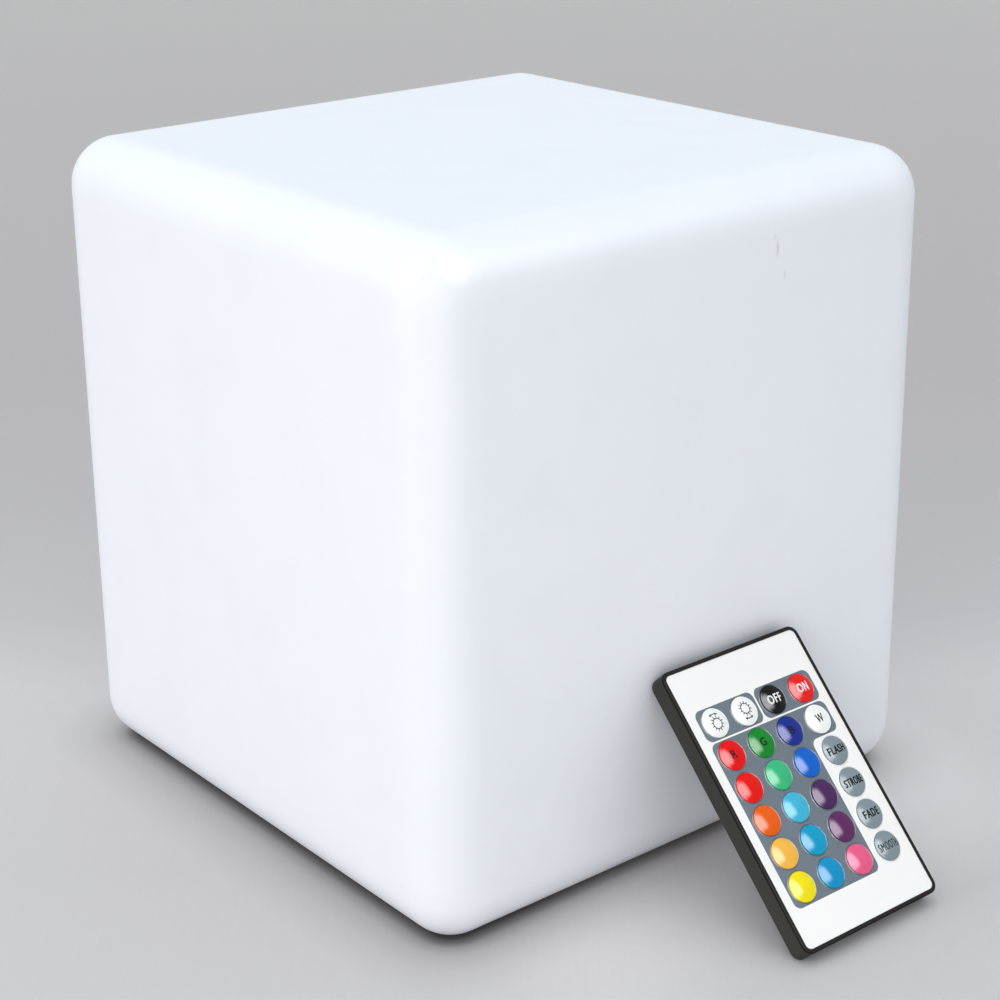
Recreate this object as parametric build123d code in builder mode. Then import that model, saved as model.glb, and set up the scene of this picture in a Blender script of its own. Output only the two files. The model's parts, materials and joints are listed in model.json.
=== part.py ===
"""Cube light with a card remote: a moulded shell on a screwed-in lamp module.

Millimetres, +Z up.  The origin is the middle of the cube's underside, on the ground.
The remote leans on the cube's front (-Y) face.  Its pieces are modelled flat, keys up,
with z = 0 at the rim of its case, and are then set down in their leaning place.
"""

import os
from collections import namedtuple
from math import asin, cos, degrees, radians, sin, sqrt

from build123d import *

Screw = namedtuple("Screw", "head_radius head_height shank_radius length")

# ---------------------------------------------------------------- cube shell
CUBE_WIDTH = 188.0
CUBE_HEIGHT = 200.0
CUBE_EDGE_RADIUS = 15.0
SHELL_WALL = 3.0

# The underside has a round seat for the base cover, with a hole for the lamp module.
HOLE_RADIUS = 50.0
SEAT_RING = 14.0
SEAT_DEPTH = 5.0
SHELL_BOSS_RADIUS = 4.5
SHELL_BOSS_HEIGHT = 8.0

# ---------------------------------------------------------------- fasteners
CASE_HEAD_RADIUS = 2.75
CASE_HEAD_HEIGHT = 1.8
CASE_SHANK_RADIUS = 1.45
CASE_SHANK_LENGTH = 11.0
BOARD_HEAD_RADIUS = 1.9
BOARD_HEAD_HEIGHT = 1.2
BOARD_SHANK_RADIUS = 0.95
BOARD_SHANK_LENGTH = 6.0
SCREW_CLEARANCE = 0.25
PILOT_CLEARANCE = 0.05
PILOT_SPARE_DEPTH = 1.0
HEAD_SINK = 0.5
CROSS_DEPTH = 0.8
CROSS_WIDTH = 0.7
BASE_SCREW_COUNT = 6
HOUSING_SCREW_COUNT = 4
LED_SCREW_COUNT = 3

# ---------------------------------------------------------------- base cover
COVER_THICKNESS = 4.0
COVER_CLEARANCE = 0.3
COVER_CHAMFER = 0.6
GASKET_INSET = 1.5
GASKET_WIDTH = 3.0
BASE_SCREW_INSET = 6.2

# A pocket in the cover holds the socket, the light and the button.
POCKET_LENGTH = 46.0
POCKET_WIDTH = 20.0
POCKET_RADIUS = 6.0
POCKET_DEPTH = 5.0
POCKET_WALL = 2.0
POCKET_Y = 19.0
CONTROL_SPACING = 13.0

# ---------------------------------------------------------------- module housing
HOUSING_CLEARANCE = 2.0
HOUSING_WALL = 2.2
DECK_HEIGHT = 27.5
DECK_THICKNESS = 2.5
LIP_HEIGHT = 4.0
HOUSING_BOSS_RADIUS = 4.0
HOUSING_BOSS_INSET = 8.0

# ---------------------------------------------------------------- lights
BOARD_THICKNESS = 1.6
LED_BOARD_CLEARANCE = 0.4
LED_SIZE = 5.0
LED_HEIGHT = 1.6
COLOUR_LED_COUNT = 12
COLOUR_LED_CIRCLE = 31.0
WHITE_LED_COUNT = 4
WHITE_LED_CIRCLE = 13.0
LED_SCREW_CIRCLE = 22.0
LED_SCREW_START = 30.0
RECEIVER_WIDTH = 6.0
RECEIVER_DEPTH = 4.0
RECEIVER_HEIGHT = 7.0
RECEIVER_LENS_RADIUS = 1.6
DOME_RISE = 20.0
DOME_BASE_INSET = 4.0
DOME_WALL = 2.0
DOME_FLANGE = 2.0

# ---------------------------------------------------------------- battery
CELL_RADIUS = 9.2
CELL_LENGTH = 65.0
CELL_NUB_RADIUS = 2.8
CELL_NUB_LENGTH = 0.6
CELL_CLEARANCE = 0.2
BATTERY_Y = -16.0
HOLDER_WALL = 1.5
HOLDER_HEIGHT = 12.0

# ---------------------------------------------------------------- control board
CONTROL_BOARD_LENGTH = 46.0
CONTROL_BOARD_WIDTH = 26.0
CONTROL_BOARD_RISE = 8.0
CONTROL_POST_RADIUS = 2.5
CONTROL_POST_INSET = 3.0
WIRE_RADIUS = 0.6
LED_WIRE_COUNT = 5
LED_WIRE_SPACING = 2.2
LED_WIRE_INSET = 2.5
LED_WIRE_SLOT_WIDTH = 3.0
LED_WIRE_SLOT_SPARE = 1.0
BATTERY_WIRE_SPACING = 4.0
BATTERY_WIRE_X = 12.0

# ---------------------------------------------------------------- socket, light, button
JACK_BODY = 9.0
JACK_BARREL_RADIUS = 4.0
JACK_BORE_RADIUS = 2.85
JACK_PIN_RADIUS = 1.0
JACK_PIN_RECESS = 1.5
JACK_BACK_WALL = 1.0
ROOF_HOLE_CLEARANCE = 0.1
PLUG_CAP_RADIUS = 6.2
PLUG_CAP_THICKNESS = 1.6
PLUG_TAB_LENGTH = 3.0
PLUG_TAB_WIDTH = 5.0
PLUG_STUB_LENGTH = 4.0
PLUG_CLEARANCE = 0.1
PLUG_PIN_CLEARANCE = 0.2
SWITCH_SIZE = 6.0
SWITCH_HEIGHT = 3.5
SWITCH_STUD_RADIUS = 1.7
SWITCH_STUD_HEIGHT = 0.5
BUTTON_RADIUS = 5.0
BUTTON_CLEARANCE = 0.15
BUTTON_FLANGE = 1.2
BUTTON_FLANGE_THICKNESS = 1.0
BUTTON_STEM_RADIUS = 1.5
BUTTON_PROUD = 0.8
BUTTON_TRAVEL = 0.7
STOP_CLEARANCE = 0.05
PIPE_RADIUS = 1.5
PIPE_FLANGE = 0.9
PIPE_FLANGE_THICKNESS = 0.8
PIPE_PROUD = 0.3
PIPE_TO_LED = 0.3
STATUS_LED_LENGTH = 3.0
STATUS_LED_WIDTH = 1.6
STATUS_LED_HEIGHT = 0.8

# ---------------------------------------------------------------- remote: case
REMOTE_WIDTH = 54.0
REMOTE_LENGTH = 86.0
REMOTE_THICKNESS = 6.5
REMOTE_CORNER = 3.0
REMOTE_BACK_EDGE = 0.8
REMOTE_WALL = 1.4
REMOTE_FLOOR = 0.9
FRONT_HEIGHT = 1.9
FRONT_PLATE = 0.9
RIM_WIDTH = 1.25
RIM_EDGE = 0.4
FILM_SINK = 0.15
FILM_THICKNESS = 0.25
CLAMP_POST_RADIUS = 1.2
CLAMP_POST_ROWS = 3
CLAMP_ROW_STEP = 2
LEDGE_SIZE = 5.0

# ---------------------------------------------------------------- remote: keys
KEY_COLUMNS = 4
KEY_ROWS = 6
KEY_PITCH_X = 11.54
KEY_PITCH_Y = 10.11
KEY_GRID_X = 0.15
KEY_GRID_Y = -0.62
KEY_RADIUS = 4.4
KEY_CLEARANCE = 0.15
KEY_EDGE = 0.3
KEY_DOME_RISE = 0.8
KEY_FLANGE = 0.5
KEY_FLANGE_THICKNESS = 0.4
KEY_PLUNGER_RADIUS = 1.0
KEY_PLUNGER_LENGTH = 0.3
KEY_TRAVEL = 0.25
KEY_END_CLEARANCE = 0.03
SNAP_DOME_RADIUS = 2.5
SNAP_DOME_HEIGHT = 0.22
SNAP_DOME_TAPER = 70.0
KEY_NAMES = [
    ["brighter", "dimmer", "off", "on"],
    ["red", "green", "blue", "white"],
    ["scarlet", "mint", "royal_blue", "mode_flash"],
    ["orange", "sky_blue", "purple", "mode_strobe"],
    ["amber", "cyan", "plum", "mode_fade"],
    ["yellow", "azure", "pink", "mode_smooth"],
]

# ---------------------------------------------------------------- remote: inside
REMOTE_BOARD_THICKNESS = 0.8
REMOTE_BOARD_CLEARANCE = 0.3
CHIP_LENGTH = 5.0
CHIP_WIDTH = 4.0
CHIP_HEIGHT = 1.2
CHIP_Y = 24.0
EMITTER_RADIUS = 1.5
EMITTER_LENGTH = 5.0
EMITTER_PROUD = 0.6
EMITTER_DEPTH = 3.75
EMITTER_CLEARANCE = 0.15
COIN_RADIUS = 10.0
COIN_THICKNESS = 2.5
COIN_CLEARANCE = 0.15
TRAY_WIDTH = 24.0
TRAY_X = -1.3
TRAY_LENGTH = 25.0
TRAY_FLOOR = 0.48
TRAY_WALL_HEIGHT = 2.2
TRAY_CLEARANCE = 0.15
TRAY_END = 2.0
TRAY_NOTCH_WIDTH = 4.0
TRAY_NOTCH_DEPTH = 1.0
TRAY_NOTCH_INSET = 0.4
CONTACT_THICKNESS = 0.12
CONTACT_WIDTH = 3.0
CONTACT_LENGTH = 9.0
CONTACT_SPACING = 12.0

# ---------------------------------------------------------------- remote: place
REMOTE_LEAN = 46.0
REMOTE_X = 8.0
REST_GAP = 0.05

# ================================================================ worked-out sizes
case_screw = Screw(CASE_HEAD_RADIUS, CASE_HEAD_HEIGHT, CASE_SHANK_RADIUS, CASE_SHANK_LENGTH)
board_screw = Screw(BOARD_HEAD_RADIUS, BOARD_HEAD_HEIGHT, BOARD_SHANK_RADIUS, BOARD_SHANK_LENGTH)
seat_radius = HOLE_RADIUS + SEAT_RING
pan_height = SEAT_DEPTH + SHELL_WALL
cover_radius = seat_radius - COVER_CLEARANCE
base_screw_circle = cover_radius - BASE_SCREW_INSET
gasket_inner = HOLE_RADIUS + GASKET_INSET
head_seat = HEAD_SINK + CASE_HEAD_HEIGHT

pocket_roof_top = POCKET_DEPTH + POCKET_WALL
control_board_z = pocket_roof_top + CONTROL_BOARD_RISE
control_board_top = control_board_z + BOARD_THICKNESS
control_board_back = POCKET_Y + CONTROL_BOARD_WIDTH / 2
control_board_front = POCKET_Y - CONTROL_BOARD_WIDTH / 2
led_wire_y = control_board_back - LED_WIRE_INSET
jack_x = -CONTROL_SPACING
button_x = CONTROL_SPACING

housing_radius = HOLE_RADIUS - HOUSING_CLEARANCE
housing_inner = housing_radius - HOUSING_WALL
housing_boss_circle = housing_inner - HOUSING_BOSS_INSET
deck_top = DECK_HEIGHT + DECK_THICKNESS
lip_top = deck_top + LIP_HEIGHT
led_board_radius = housing_inner - LED_BOARD_CLEARANCE
led_board_top = deck_top + BOARD_THICKNESS

trough_radius = CELL_RADIUS + CELL_CLEARANCE
trough_length = CELL_LENGTH + CELL_NUB_LENGTH + 2 * CELL_CLEARANCE
cell_axis_z = COVER_THICKNESS + HOLDER_WALL + trough_radius
holder_length = trough_length + 2 * HOLDER_WALL
holder_width = 2 * (trough_radius + HOLDER_WALL)
holder_back = BATTERY_Y + holder_width / 2

film_width = REMOTE_WIDTH - 2 * RIM_WIDTH
film_length = REMOTE_LENGTH - 2 * RIM_WIDTH
film_corner = REMOTE_CORNER - RIM_WIDTH
film_top = -FILM_SINK
film_bottom = film_top - FILM_THICKNESS
plate_bottom = film_bottom - FRONT_PLATE
inner_width = REMOTE_WIDTH - 2 * REMOTE_WALL
inner_length = REMOTE_LENGTH - 2 * REMOTE_WALL
inner_corner = REMOTE_CORNER - REMOTE_WALL
key_hole_radius = KEY_RADIUS + KEY_CLEARANCE
key_flange_top = plate_bottom - STOP_CLEARANCE
key_flange_bottom = key_flange_top - KEY_FLANGE_THICKNESS
key_plunger_end = key_flange_bottom - KEY_PLUNGER_LENGTH
snap_dome_top = key_plunger_end - KEY_TRAVEL - KEY_END_CLEARANCE
remote_board_top = snap_dome_top - SNAP_DOME_HEIGHT
remote_board_bottom = remote_board_top - REMOTE_BOARD_THICKNESS
remote_back = -REMOTE_THICKNESS
remote_floor_top = remote_back + REMOTE_FLOOR
remote_foot = -REMOTE_LENGTH / 2
coin_y = remote_foot + TRAY_END + COIN_CLEARANCE + COIN_RADIUS
coin_bottom = remote_back + TRAY_FLOOR
tray_slot_top = coin_bottom + COIN_THICKNESS
board_width = inner_width - 2 * REMOTE_BOARD_CLEARANCE
board_length = inner_length - 2 * REMOTE_BOARD_CLEARANCE

lean = radians(REMOTE_LEAN)
core_length = REMOTE_LENGTH / 2 - REMOTE_BACK_EDGE
core_depth = REMOTE_THICKNESS - REMOTE_BACK_EDGE
remote_reach = cos(lean) * core_length + sin(lean) * core_depth + REMOTE_BACK_EDGE
remote_height = sin(lean) * core_length + cos(lean) * core_depth + REMOTE_BACK_EDGE
remote_plane = Plane(
    origin=(REMOTE_X, -CUBE_WIDTH / 2 - REST_GAP - remote_reach, remote_height),
    x_dir=(1, 0, 0),
    z_dir=(0, -sin(lean), cos(lean)),
)

key_grid = [
    (
        KEY_GRID_X + (column - (KEY_COLUMNS - 1) / 2) * KEY_PITCH_X,
        KEY_GRID_Y + ((KEY_ROWS - 1) / 2 - row) * KEY_PITCH_Y,
    )
    for row in range(KEY_ROWS)
    for column in range(KEY_COLUMNS)
]


# ================================================================ shared forms
def write(piece, name, plane=Plane.XY):
    """Set a finished piece down on its plane, label it and write its file."""
    placed = piece.moved(plane.location)
    placed.label = name
    export_step(placed, f"parts/{name}.step")


def round_points(circle_radius, count, start=0.0):
    """Points spaced evenly on a circle about the cube's axis."""
    places = PolarLocations(circle_radius, count, start_angle=start).locations
    return [(place.position.X, place.position.Y) for place in places]


def corner_points(length, width, middle_y=0.0):
    """The four corners of a rectangle about (0, middle_y)."""
    places = GridLocations(length, width, 2, 2).locations
    return [(place.position.X, middle_y + place.position.Y) for place in places]


def screw_set(screw, points, seat_z, upwards):
    """Screws with a crossed head, each head's inner face at seat_z."""
    way = 1 if upwards else -1
    with BuildPart() as screws:
        with BuildSketch(Plane.XY.offset(seat_z)):
            with Locations(*points):
                Circle(screw.head_radius)
        extrude(amount=-way * screw.head_height)
        with BuildSketch(Plane.XY.offset(seat_z)):
            with Locations(*points):
                Circle(screw.shank_radius)
        extrude(amount=way * screw.length)
        with BuildSketch(Plane.XY.offset(seat_z - way * screw.head_height)):
            with Locations(*points):
                Rectangle(2 * screw.shank_radius, CROSS_WIDTH)
                Rectangle(CROSS_WIDTH, 2 * screw.shank_radius)
        extrude(amount=way * CROSS_DEPTH, mode=Mode.SUBTRACT)
    return screws.part


def board_with_holes(outline, bottom_z, hole_radius, points):
    """A circuit board from an outline sketch, with screw holes through it."""
    with BuildPart() as board:
        with BuildSketch(Plane.XY.offset(bottom_z)):
            add(outline)
            with Locations(*points):
                Circle(hole_radius, mode=Mode.SUBTRACT)
        extrude(amount=BOARD_THICKNESS)
    return board


# ================================================================ cube shell
def make_shell():
    """The hollow moulded cube, with the seat and screw bosses of its underside."""
    with BuildPart() as shell:
        with Locations((0, 0, CUBE_HEIGHT / 2)):
            Box(CUBE_WIDTH, CUBE_WIDTH, CUBE_HEIGHT)
        fillet(shell.edges(), CUBE_EDGE_RADIUS)
        offset(amount=-SHELL_WALL, mode=Mode.SUBTRACT)
        with BuildSketch():
            Circle(seat_radius + SHELL_WALL)
        extrude(amount=pan_height)
        with BuildSketch():
            Circle(seat_radius)
        extrude(amount=SEAT_DEPTH, mode=Mode.SUBTRACT)
        with BuildSketch(Plane.XY.offset(SEAT_DEPTH)):
            Circle(HOLE_RADIUS)
        extrude(amount=SHELL_WALL, mode=Mode.SUBTRACT)
        with BuildSketch(Plane.XY.offset(pan_height)):
            with PolarLocations(base_screw_circle, BASE_SCREW_COUNT):
                Circle(SHELL_BOSS_RADIUS)
        extrude(amount=SHELL_BOSS_HEIGHT)
        with BuildSketch(Plane.XY.offset(SEAT_DEPTH)):
            with PolarLocations(base_screw_circle, BASE_SCREW_COUNT):
                Circle(case_screw.shank_radius + PILOT_CLEARANCE)
        pilot_end = head_seat + case_screw.length + PILOT_SPARE_DEPTH
        extrude(amount=pilot_end - SEAT_DEPTH, mode=Mode.SUBTRACT)
    write(shell.part, "cube_shell")


# ================================================================ lamp module
def make_base_cover():
    """The round cover, flush with the underside, with the pocket and board posts."""
    control_points = corner_points(
        CONTROL_BOARD_LENGTH - 2 * CONTROL_POST_INSET,
        CONTROL_BOARD_WIDTH - 2 * CONTROL_POST_INSET,
        POCKET_Y,
    )
    underside = Plane(origin=(0, 0, 0), x_dir=(1, 0, 0), z_dir=(0, 0, -1))
    with BuildPart() as base_cover:
        with BuildSketch():
            Circle(cover_radius)
        extrude(amount=COVER_THICKNESS)
        rim = base_cover.edges().sort_by(Axis.Z)[0]
        chamfer(rim, COVER_CHAMFER)
        with BuildSketch(Plane.XY.offset(COVER_THICKNESS)):
            with Locations((0, POCKET_Y)):
                RectangleRounded(
                    POCKET_LENGTH + 2 * POCKET_WALL,
                    POCKET_WIDTH + 2 * POCKET_WALL,
                    POCKET_RADIUS + POCKET_WALL,
                )
        extrude(amount=pocket_roof_top - COVER_THICKNESS)
        with BuildSketch(Plane.XY.offset(pocket_roof_top)):
            with Locations(*control_points):
                Circle(CONTROL_POST_RADIUS)
        extrude(amount=CONTROL_BOARD_RISE)
        with BuildSketch(Plane.XY.offset(control_board_z)):
            with Locations(*control_points):
                Circle(board_screw.shank_radius + PILOT_CLEARANCE)
        extrude(amount=-board_screw.length, mode=Mode.SUBTRACT)
        with BuildSketch():
            with Locations((0, POCKET_Y)):
                RectangleRounded(POCKET_LENGTH, POCKET_WIDTH, POCKET_RADIUS)
        extrude(amount=POCKET_DEPTH, mode=Mode.SUBTRACT)
        with BuildSketch(Plane.XY.offset(POCKET_DEPTH)):
            with Locations((jack_x, POCKET_Y)):
                Circle(JACK_BARREL_RADIUS + ROOF_HOLE_CLEARANCE)
            with Locations((0, POCKET_Y)):
                Circle(PIPE_RADIUS + ROOF_HOLE_CLEARANCE)
            with Locations((button_x, POCKET_Y)):
                Circle(BUTTON_RADIUS + BUTTON_CLEARANCE)
        extrude(amount=POCKET_WALL, mode=Mode.SUBTRACT)
        with Locations(underside):
            with PolarLocations(base_screw_circle, BASE_SCREW_COUNT):
                CounterBoreHole(
                    radius=case_screw.shank_radius + SCREW_CLEARANCE,
                    counter_bore_radius=case_screw.head_radius + SCREW_CLEARANCE,
                    counter_bore_depth=head_seat,
                    depth=COVER_THICKNESS,
                )
            with PolarLocations(housing_boss_circle, HOUSING_SCREW_COUNT):
                CounterBoreHole(
                    radius=case_screw.shank_radius + SCREW_CLEARANCE,
                    counter_bore_radius=case_screw.head_radius + SCREW_CLEARANCE,
                    counter_bore_depth=head_seat,
                    depth=COVER_THICKNESS,
                )
    write(base_cover.part, "base_cover")

    base_points = round_points(base_screw_circle, BASE_SCREW_COUNT)
    write(screw_set(case_screw, base_points, head_seat, True), "base_screws")
    write(screw_set(board_screw, control_points, control_board_top, False), "board_screws")

    with BuildPart() as gasket:
        with BuildSketch(Plane.XY.offset(COVER_THICKNESS)):
            Circle(gasket_inner + GASKET_WIDTH)
            Circle(gasket_inner, mode=Mode.SUBTRACT)
        extrude(amount=SEAT_DEPTH - COVER_THICKNESS)
    write(gasket.part, "base_gasket")

    outline = Pos(0, POCKET_Y) * Rectangle(CONTROL_BOARD_LENGTH, CONTROL_BOARD_WIDTH)
    control_board = board_with_holes(
        outline, control_board_z, board_screw.shank_radius + SCREW_CLEARANCE, control_points
    )
    write(control_board.part, "control_board")


def make_module_housing():
    """The open tube that stands on the cover, its deck for the lights and its screws."""
    boss_points = round_points(housing_boss_circle, HOUSING_SCREW_COUNT)
    led_points = round_points(LED_SCREW_CIRCLE, LED_SCREW_COUNT, LED_SCREW_START)
    slot_length = LED_WIRE_COUNT * LED_WIRE_SPACING + 2 * LED_WIRE_SLOT_SPARE
    with BuildPart() as housing:
        with BuildSketch(Plane.XY.offset(COVER_THICKNESS)):
            Circle(housing_radius)
            Circle(housing_inner, mode=Mode.SUBTRACT)
        extrude(amount=lip_top - COVER_THICKNESS)
        with BuildSketch(Plane.XY.offset(DECK_HEIGHT)):
            Circle(housing_inner)
            with Locations((0, led_wire_y)):
                SlotOverall(slot_length, LED_WIRE_SLOT_WIDTH, mode=Mode.SUBTRACT)
        extrude(amount=DECK_THICKNESS)
        with BuildSketch(Plane.XY.offset(COVER_THICKNESS)):
            with Locations(*boss_points):
                Circle(HOUSING_BOSS_RADIUS)
        extrude(amount=DECK_HEIGHT - COVER_THICKNESS)
        with BuildSketch(Plane.XY.offset(COVER_THICKNESS)):
            with Locations(*boss_points):
                Circle(case_screw.shank_radius + PILOT_CLEARANCE)
        pilot_end = head_seat + case_screw.length + PILOT_SPARE_DEPTH
        extrude(amount=pilot_end - COVER_THICKNESS, mode=Mode.SUBTRACT)
        with BuildSketch(Plane.XY.offset(DECK_HEIGHT)):
            with Locations(*led_points):
                Circle(board_screw.shank_radius + PILOT_CLEARANCE)
        extrude(amount=DECK_THICKNESS, mode=Mode.SUBTRACT)
    write(housing.part, "module_housing")
    write(screw_set(case_screw, boss_points, head_seat, True), "housing_screws")

    led_board = board_with_holes(
        Circle(led_board_radius), deck_top, board_screw.shank_radius + SCREW_CLEARANCE, led_points
    )
    write(led_board.part, "led_board")
    write(screw_set(board_screw, led_points, led_board_top, False), "led_board_screws")


def make_lights():
    """The coloured and white lights, the remote receiver and the clear dome."""
    for name, circle_radius, count in (
        ("colour_leds", COLOUR_LED_CIRCLE, COLOUR_LED_COUNT),
        ("white_leds", WHITE_LED_CIRCLE, WHITE_LED_COUNT),
    ):
        with BuildPart() as leds:
            with BuildSketch(Plane.XY.offset(led_board_top)):
                with PolarLocations(circle_radius, count):
                    Rectangle(LED_SIZE, LED_SIZE)
            extrude(amount=LED_HEIGHT)
        write(leds.part, name)

    with BuildPart() as receiver:
        with BuildSketch(Plane.XY.offset(led_board_top)):
            Rectangle(RECEIVER_WIDTH, RECEIVER_DEPTH)
        extrude(amount=RECEIVER_HEIGHT)
        lens_z = led_board_top + RECEIVER_HEIGHT - RECEIVER_WIDTH / 2
        with Locations((0, -RECEIVER_DEPTH / 2, lens_z)):
            Sphere(RECEIVER_LENS_RADIUS)
    write(receiver.part, "ir_receiver")

    base_radius = housing_radius - DOME_BASE_INSET
    ball = (base_radius**2 + DOME_RISE**2) / (2 * DOME_RISE)
    ball_z = lip_top + DOME_RISE - ball
    inner_ball = ball - DOME_WALL
    inner_base = sqrt(inner_ball**2 - (lip_top - ball_z) ** 2)
    with BuildPart() as dome:
        with BuildSketch(Plane.XZ):
            with BuildLine():
                outer_angle = degrees(asin(base_radius / ball))
                inner_angle = degrees(asin(inner_base / inner_ball))
                CenterArc((0, ball_z), ball, 90 - outer_angle, outer_angle)
                CenterArc((0, ball_z), inner_ball, 90 - inner_angle, inner_angle)
                Line((base_radius, lip_top), (inner_base, lip_top))
                Line((0, ball_z + inner_ball), (0, ball_z + ball))
            make_face()
        revolve(axis=Axis.Z)
        with BuildSketch(Plane.XY.offset(lip_top)):
            Circle(housing_radius)
            Circle(inner_base, mode=Mode.SUBTRACT)
        extrude(amount=DOME_FLANGE)
    write(dome.part, "diffuser_dome")


def make_battery():
    """The round cell in its open holder, and the straight leads to the boards."""
    along_x = Plane(origin=(0, BATTERY_Y, cell_axis_z), x_dir=(0, 1, 0), z_dir=(1, 0, 0))
    with BuildPart() as holder:
        with BuildSketch(Plane.XY.offset(COVER_THICKNESS)):
            with Locations((0, BATTERY_Y)):
                Rectangle(holder_length, holder_width)
        extrude(amount=HOLDER_HEIGHT)
        with BuildSketch(along_x):
            Circle(trough_radius)
        extrude(amount=trough_length / 2, both=True, mode=Mode.SUBTRACT)
    write(holder.part, "battery_holder")

    with BuildPart() as cell:
        with BuildSketch(along_x.offset(-trough_length / 2 + CELL_CLEARANCE)):
            Circle(CELL_RADIUS)
        extrude(amount=CELL_LENGTH)
        with BuildSketch(along_x.offset(-trough_length / 2 + CELL_CLEARANCE + CELL_LENGTH)):
            Circle(CELL_NUB_RADIUS)
        extrude(amount=CELL_NUB_LENGTH)
    write(cell.part, "battery_cell")

    wire_z = COVER_THICKNESS + HOLDER_HEIGHT - WIRE_RADIUS
    across = Plane(origin=(BATTERY_WIRE_X, holder_back, wire_z), x_dir=(1, 0, 0), z_dir=(0, 1, 0))
    with BuildPart() as battery_leads:
        with BuildSketch(across):
            with GridLocations(BATTERY_WIRE_SPACING, 0, 2, 1):
                Circle(WIRE_RADIUS)
        extrude(amount=control_board_front - holder_back)
    write(battery_leads.part, "battery_leads")

    with BuildPart() as led_leads:
        with BuildSketch(Plane.XY.offset(control_board_top)):
            with Locations((0, led_wire_y)):
                with GridLocations(LED_WIRE_SPACING, 0, LED_WIRE_COUNT, 1):
                    Circle(WIRE_RADIUS)
        extrude(amount=deck_top - control_board_top)
    write(led_leads.part, "led_leads")


def make_controls():
    """The charging socket and its bung, the power button and the status light."""
    with BuildPart() as jack:
        with BuildSketch(Plane.XY.offset(pocket_roof_top)):
            with Locations((jack_x, POCKET_Y)):
                Rectangle(JACK_BODY, JACK_BODY)
        extrude(amount=CONTROL_BOARD_RISE)
        with BuildSketch(Plane.XY.offset(POCKET_DEPTH)):
            with Locations((jack_x, POCKET_Y)):
                Circle(JACK_BARREL_RADIUS)
        extrude(amount=POCKET_WALL)
        with BuildSketch(Plane.XY.offset(POCKET_DEPTH)):
            with Locations((jack_x, POCKET_Y)):
                Circle(JACK_BORE_RADIUS)
        extrude(amount=control_board_z - JACK_BACK_WALL - POCKET_DEPTH, mode=Mode.SUBTRACT)
        with BuildSketch(Plane.XY.offset(POCKET_DEPTH + JACK_PIN_RECESS)):
            with Locations((jack_x, POCKET_Y)):
                Circle(JACK_PIN_RADIUS)
        extrude(amount=control_board_z - JACK_BACK_WALL - POCKET_DEPTH - JACK_PIN_RECESS)
    write(jack.part, "charge_jack")

    cap_top = POCKET_DEPTH - STOP_CLEARANCE
    with BuildPart() as bung:
        with BuildSketch(Plane.XY.offset(cap_top)):
            with Locations((jack_x, POCKET_Y)):
                Circle(PLUG_CAP_RADIUS)
                with Locations((0, PLUG_CAP_RADIUS)):
                    Rectangle(PLUG_TAB_WIDTH, PLUG_TAB_LENGTH)
        extrude(amount=-PLUG_CAP_THICKNESS)
        with BuildSketch(Plane.XY.offset(cap_top)):
            with Locations((jack_x, POCKET_Y)):
                Circle(JACK_BORE_RADIUS - PLUG_CLEARANCE)
        extrude(amount=PLUG_STUB_LENGTH)
        with BuildSketch(Plane.XY.offset(cap_top + PLUG_STUB_LENGTH)):
            with Locations((jack_x, POCKET_Y)):
                Circle(JACK_PIN_RADIUS + PLUG_PIN_CLEARANCE)
        extrude(amount=JACK_PIN_RECESS - PLUG_STUB_LENGTH, mode=Mode.SUBTRACT)
    write(bung.part, "jack_bung")

    switch_bottom = control_board_z - SWITCH_HEIGHT
    stud_bottom = switch_bottom - SWITCH_STUD_HEIGHT
    with BuildPart() as tact_switch:
        with BuildSketch(Plane.XY.offset(switch_bottom)):
            with Locations((button_x, POCKET_Y)):
                Rectangle(SWITCH_SIZE, SWITCH_SIZE)
        extrude(amount=SWITCH_HEIGHT)
        with BuildSketch(Plane.XY.offset(stud_bottom)):
            with Locations((button_x, POCKET_Y)):
                Circle(SWITCH_STUD_RADIUS)
        extrude(amount=SWITCH_STUD_HEIGHT)
    write(tact_switch.part, "tact_switch")

    flange_bottom = pocket_roof_top + STOP_CLEARANCE
    stem_top = stud_bottom - BUTTON_TRAVEL - STOP_CLEARANCE
    with BuildPart() as button:
        with BuildSketch(Plane.XY.offset(POCKET_DEPTH - BUTTON_PROUD)):
            with Locations((button_x, POCKET_Y)):
                Circle(BUTTON_RADIUS)
        extrude(amount=flange_bottom - POCKET_DEPTH + BUTTON_PROUD)
        with BuildSketch(Plane.XY.offset(flange_bottom)):
            with Locations((button_x, POCKET_Y)):
                Circle(BUTTON_RADIUS + BUTTON_FLANGE)
        extrude(amount=BUTTON_FLANGE_THICKNESS)
        with BuildSketch(Plane.XY.offset(flange_bottom)):
            with Locations((button_x, POCKET_Y)):
                Circle(BUTTON_STEM_RADIUS)
        extrude(amount=stem_top - flange_bottom)
    write(button.part, "power_button")

    status_bottom = control_board_z - STATUS_LED_HEIGHT
    with BuildPart() as light_pipe:
        with BuildSketch(Plane.XY.offset(POCKET_DEPTH - PIPE_PROUD)):
            with Locations((0, POCKET_Y)):
                Circle(PIPE_RADIUS)
        extrude(amount=status_bottom - PIPE_TO_LED - POCKET_DEPTH + PIPE_PROUD)
        with BuildSketch(Plane.XY.offset(pocket_roof_top)):
            with Locations((0, POCKET_Y)):
                Circle(PIPE_RADIUS + PIPE_FLANGE)
        extrude(amount=PIPE_FLANGE_THICKNESS)
    write(light_pipe.part, "status_light_pipe")

    with BuildPart() as status_led:
        with BuildSketch(Plane.XY.offset(status_bottom)):
            with Locations((0, POCKET_Y)):
                Rectangle(STATUS_LED_LENGTH, STATUS_LED_WIDTH)
        extrude(amount=STATUS_LED_HEIGHT)
    write(status_led.part, "status_led")


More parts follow.
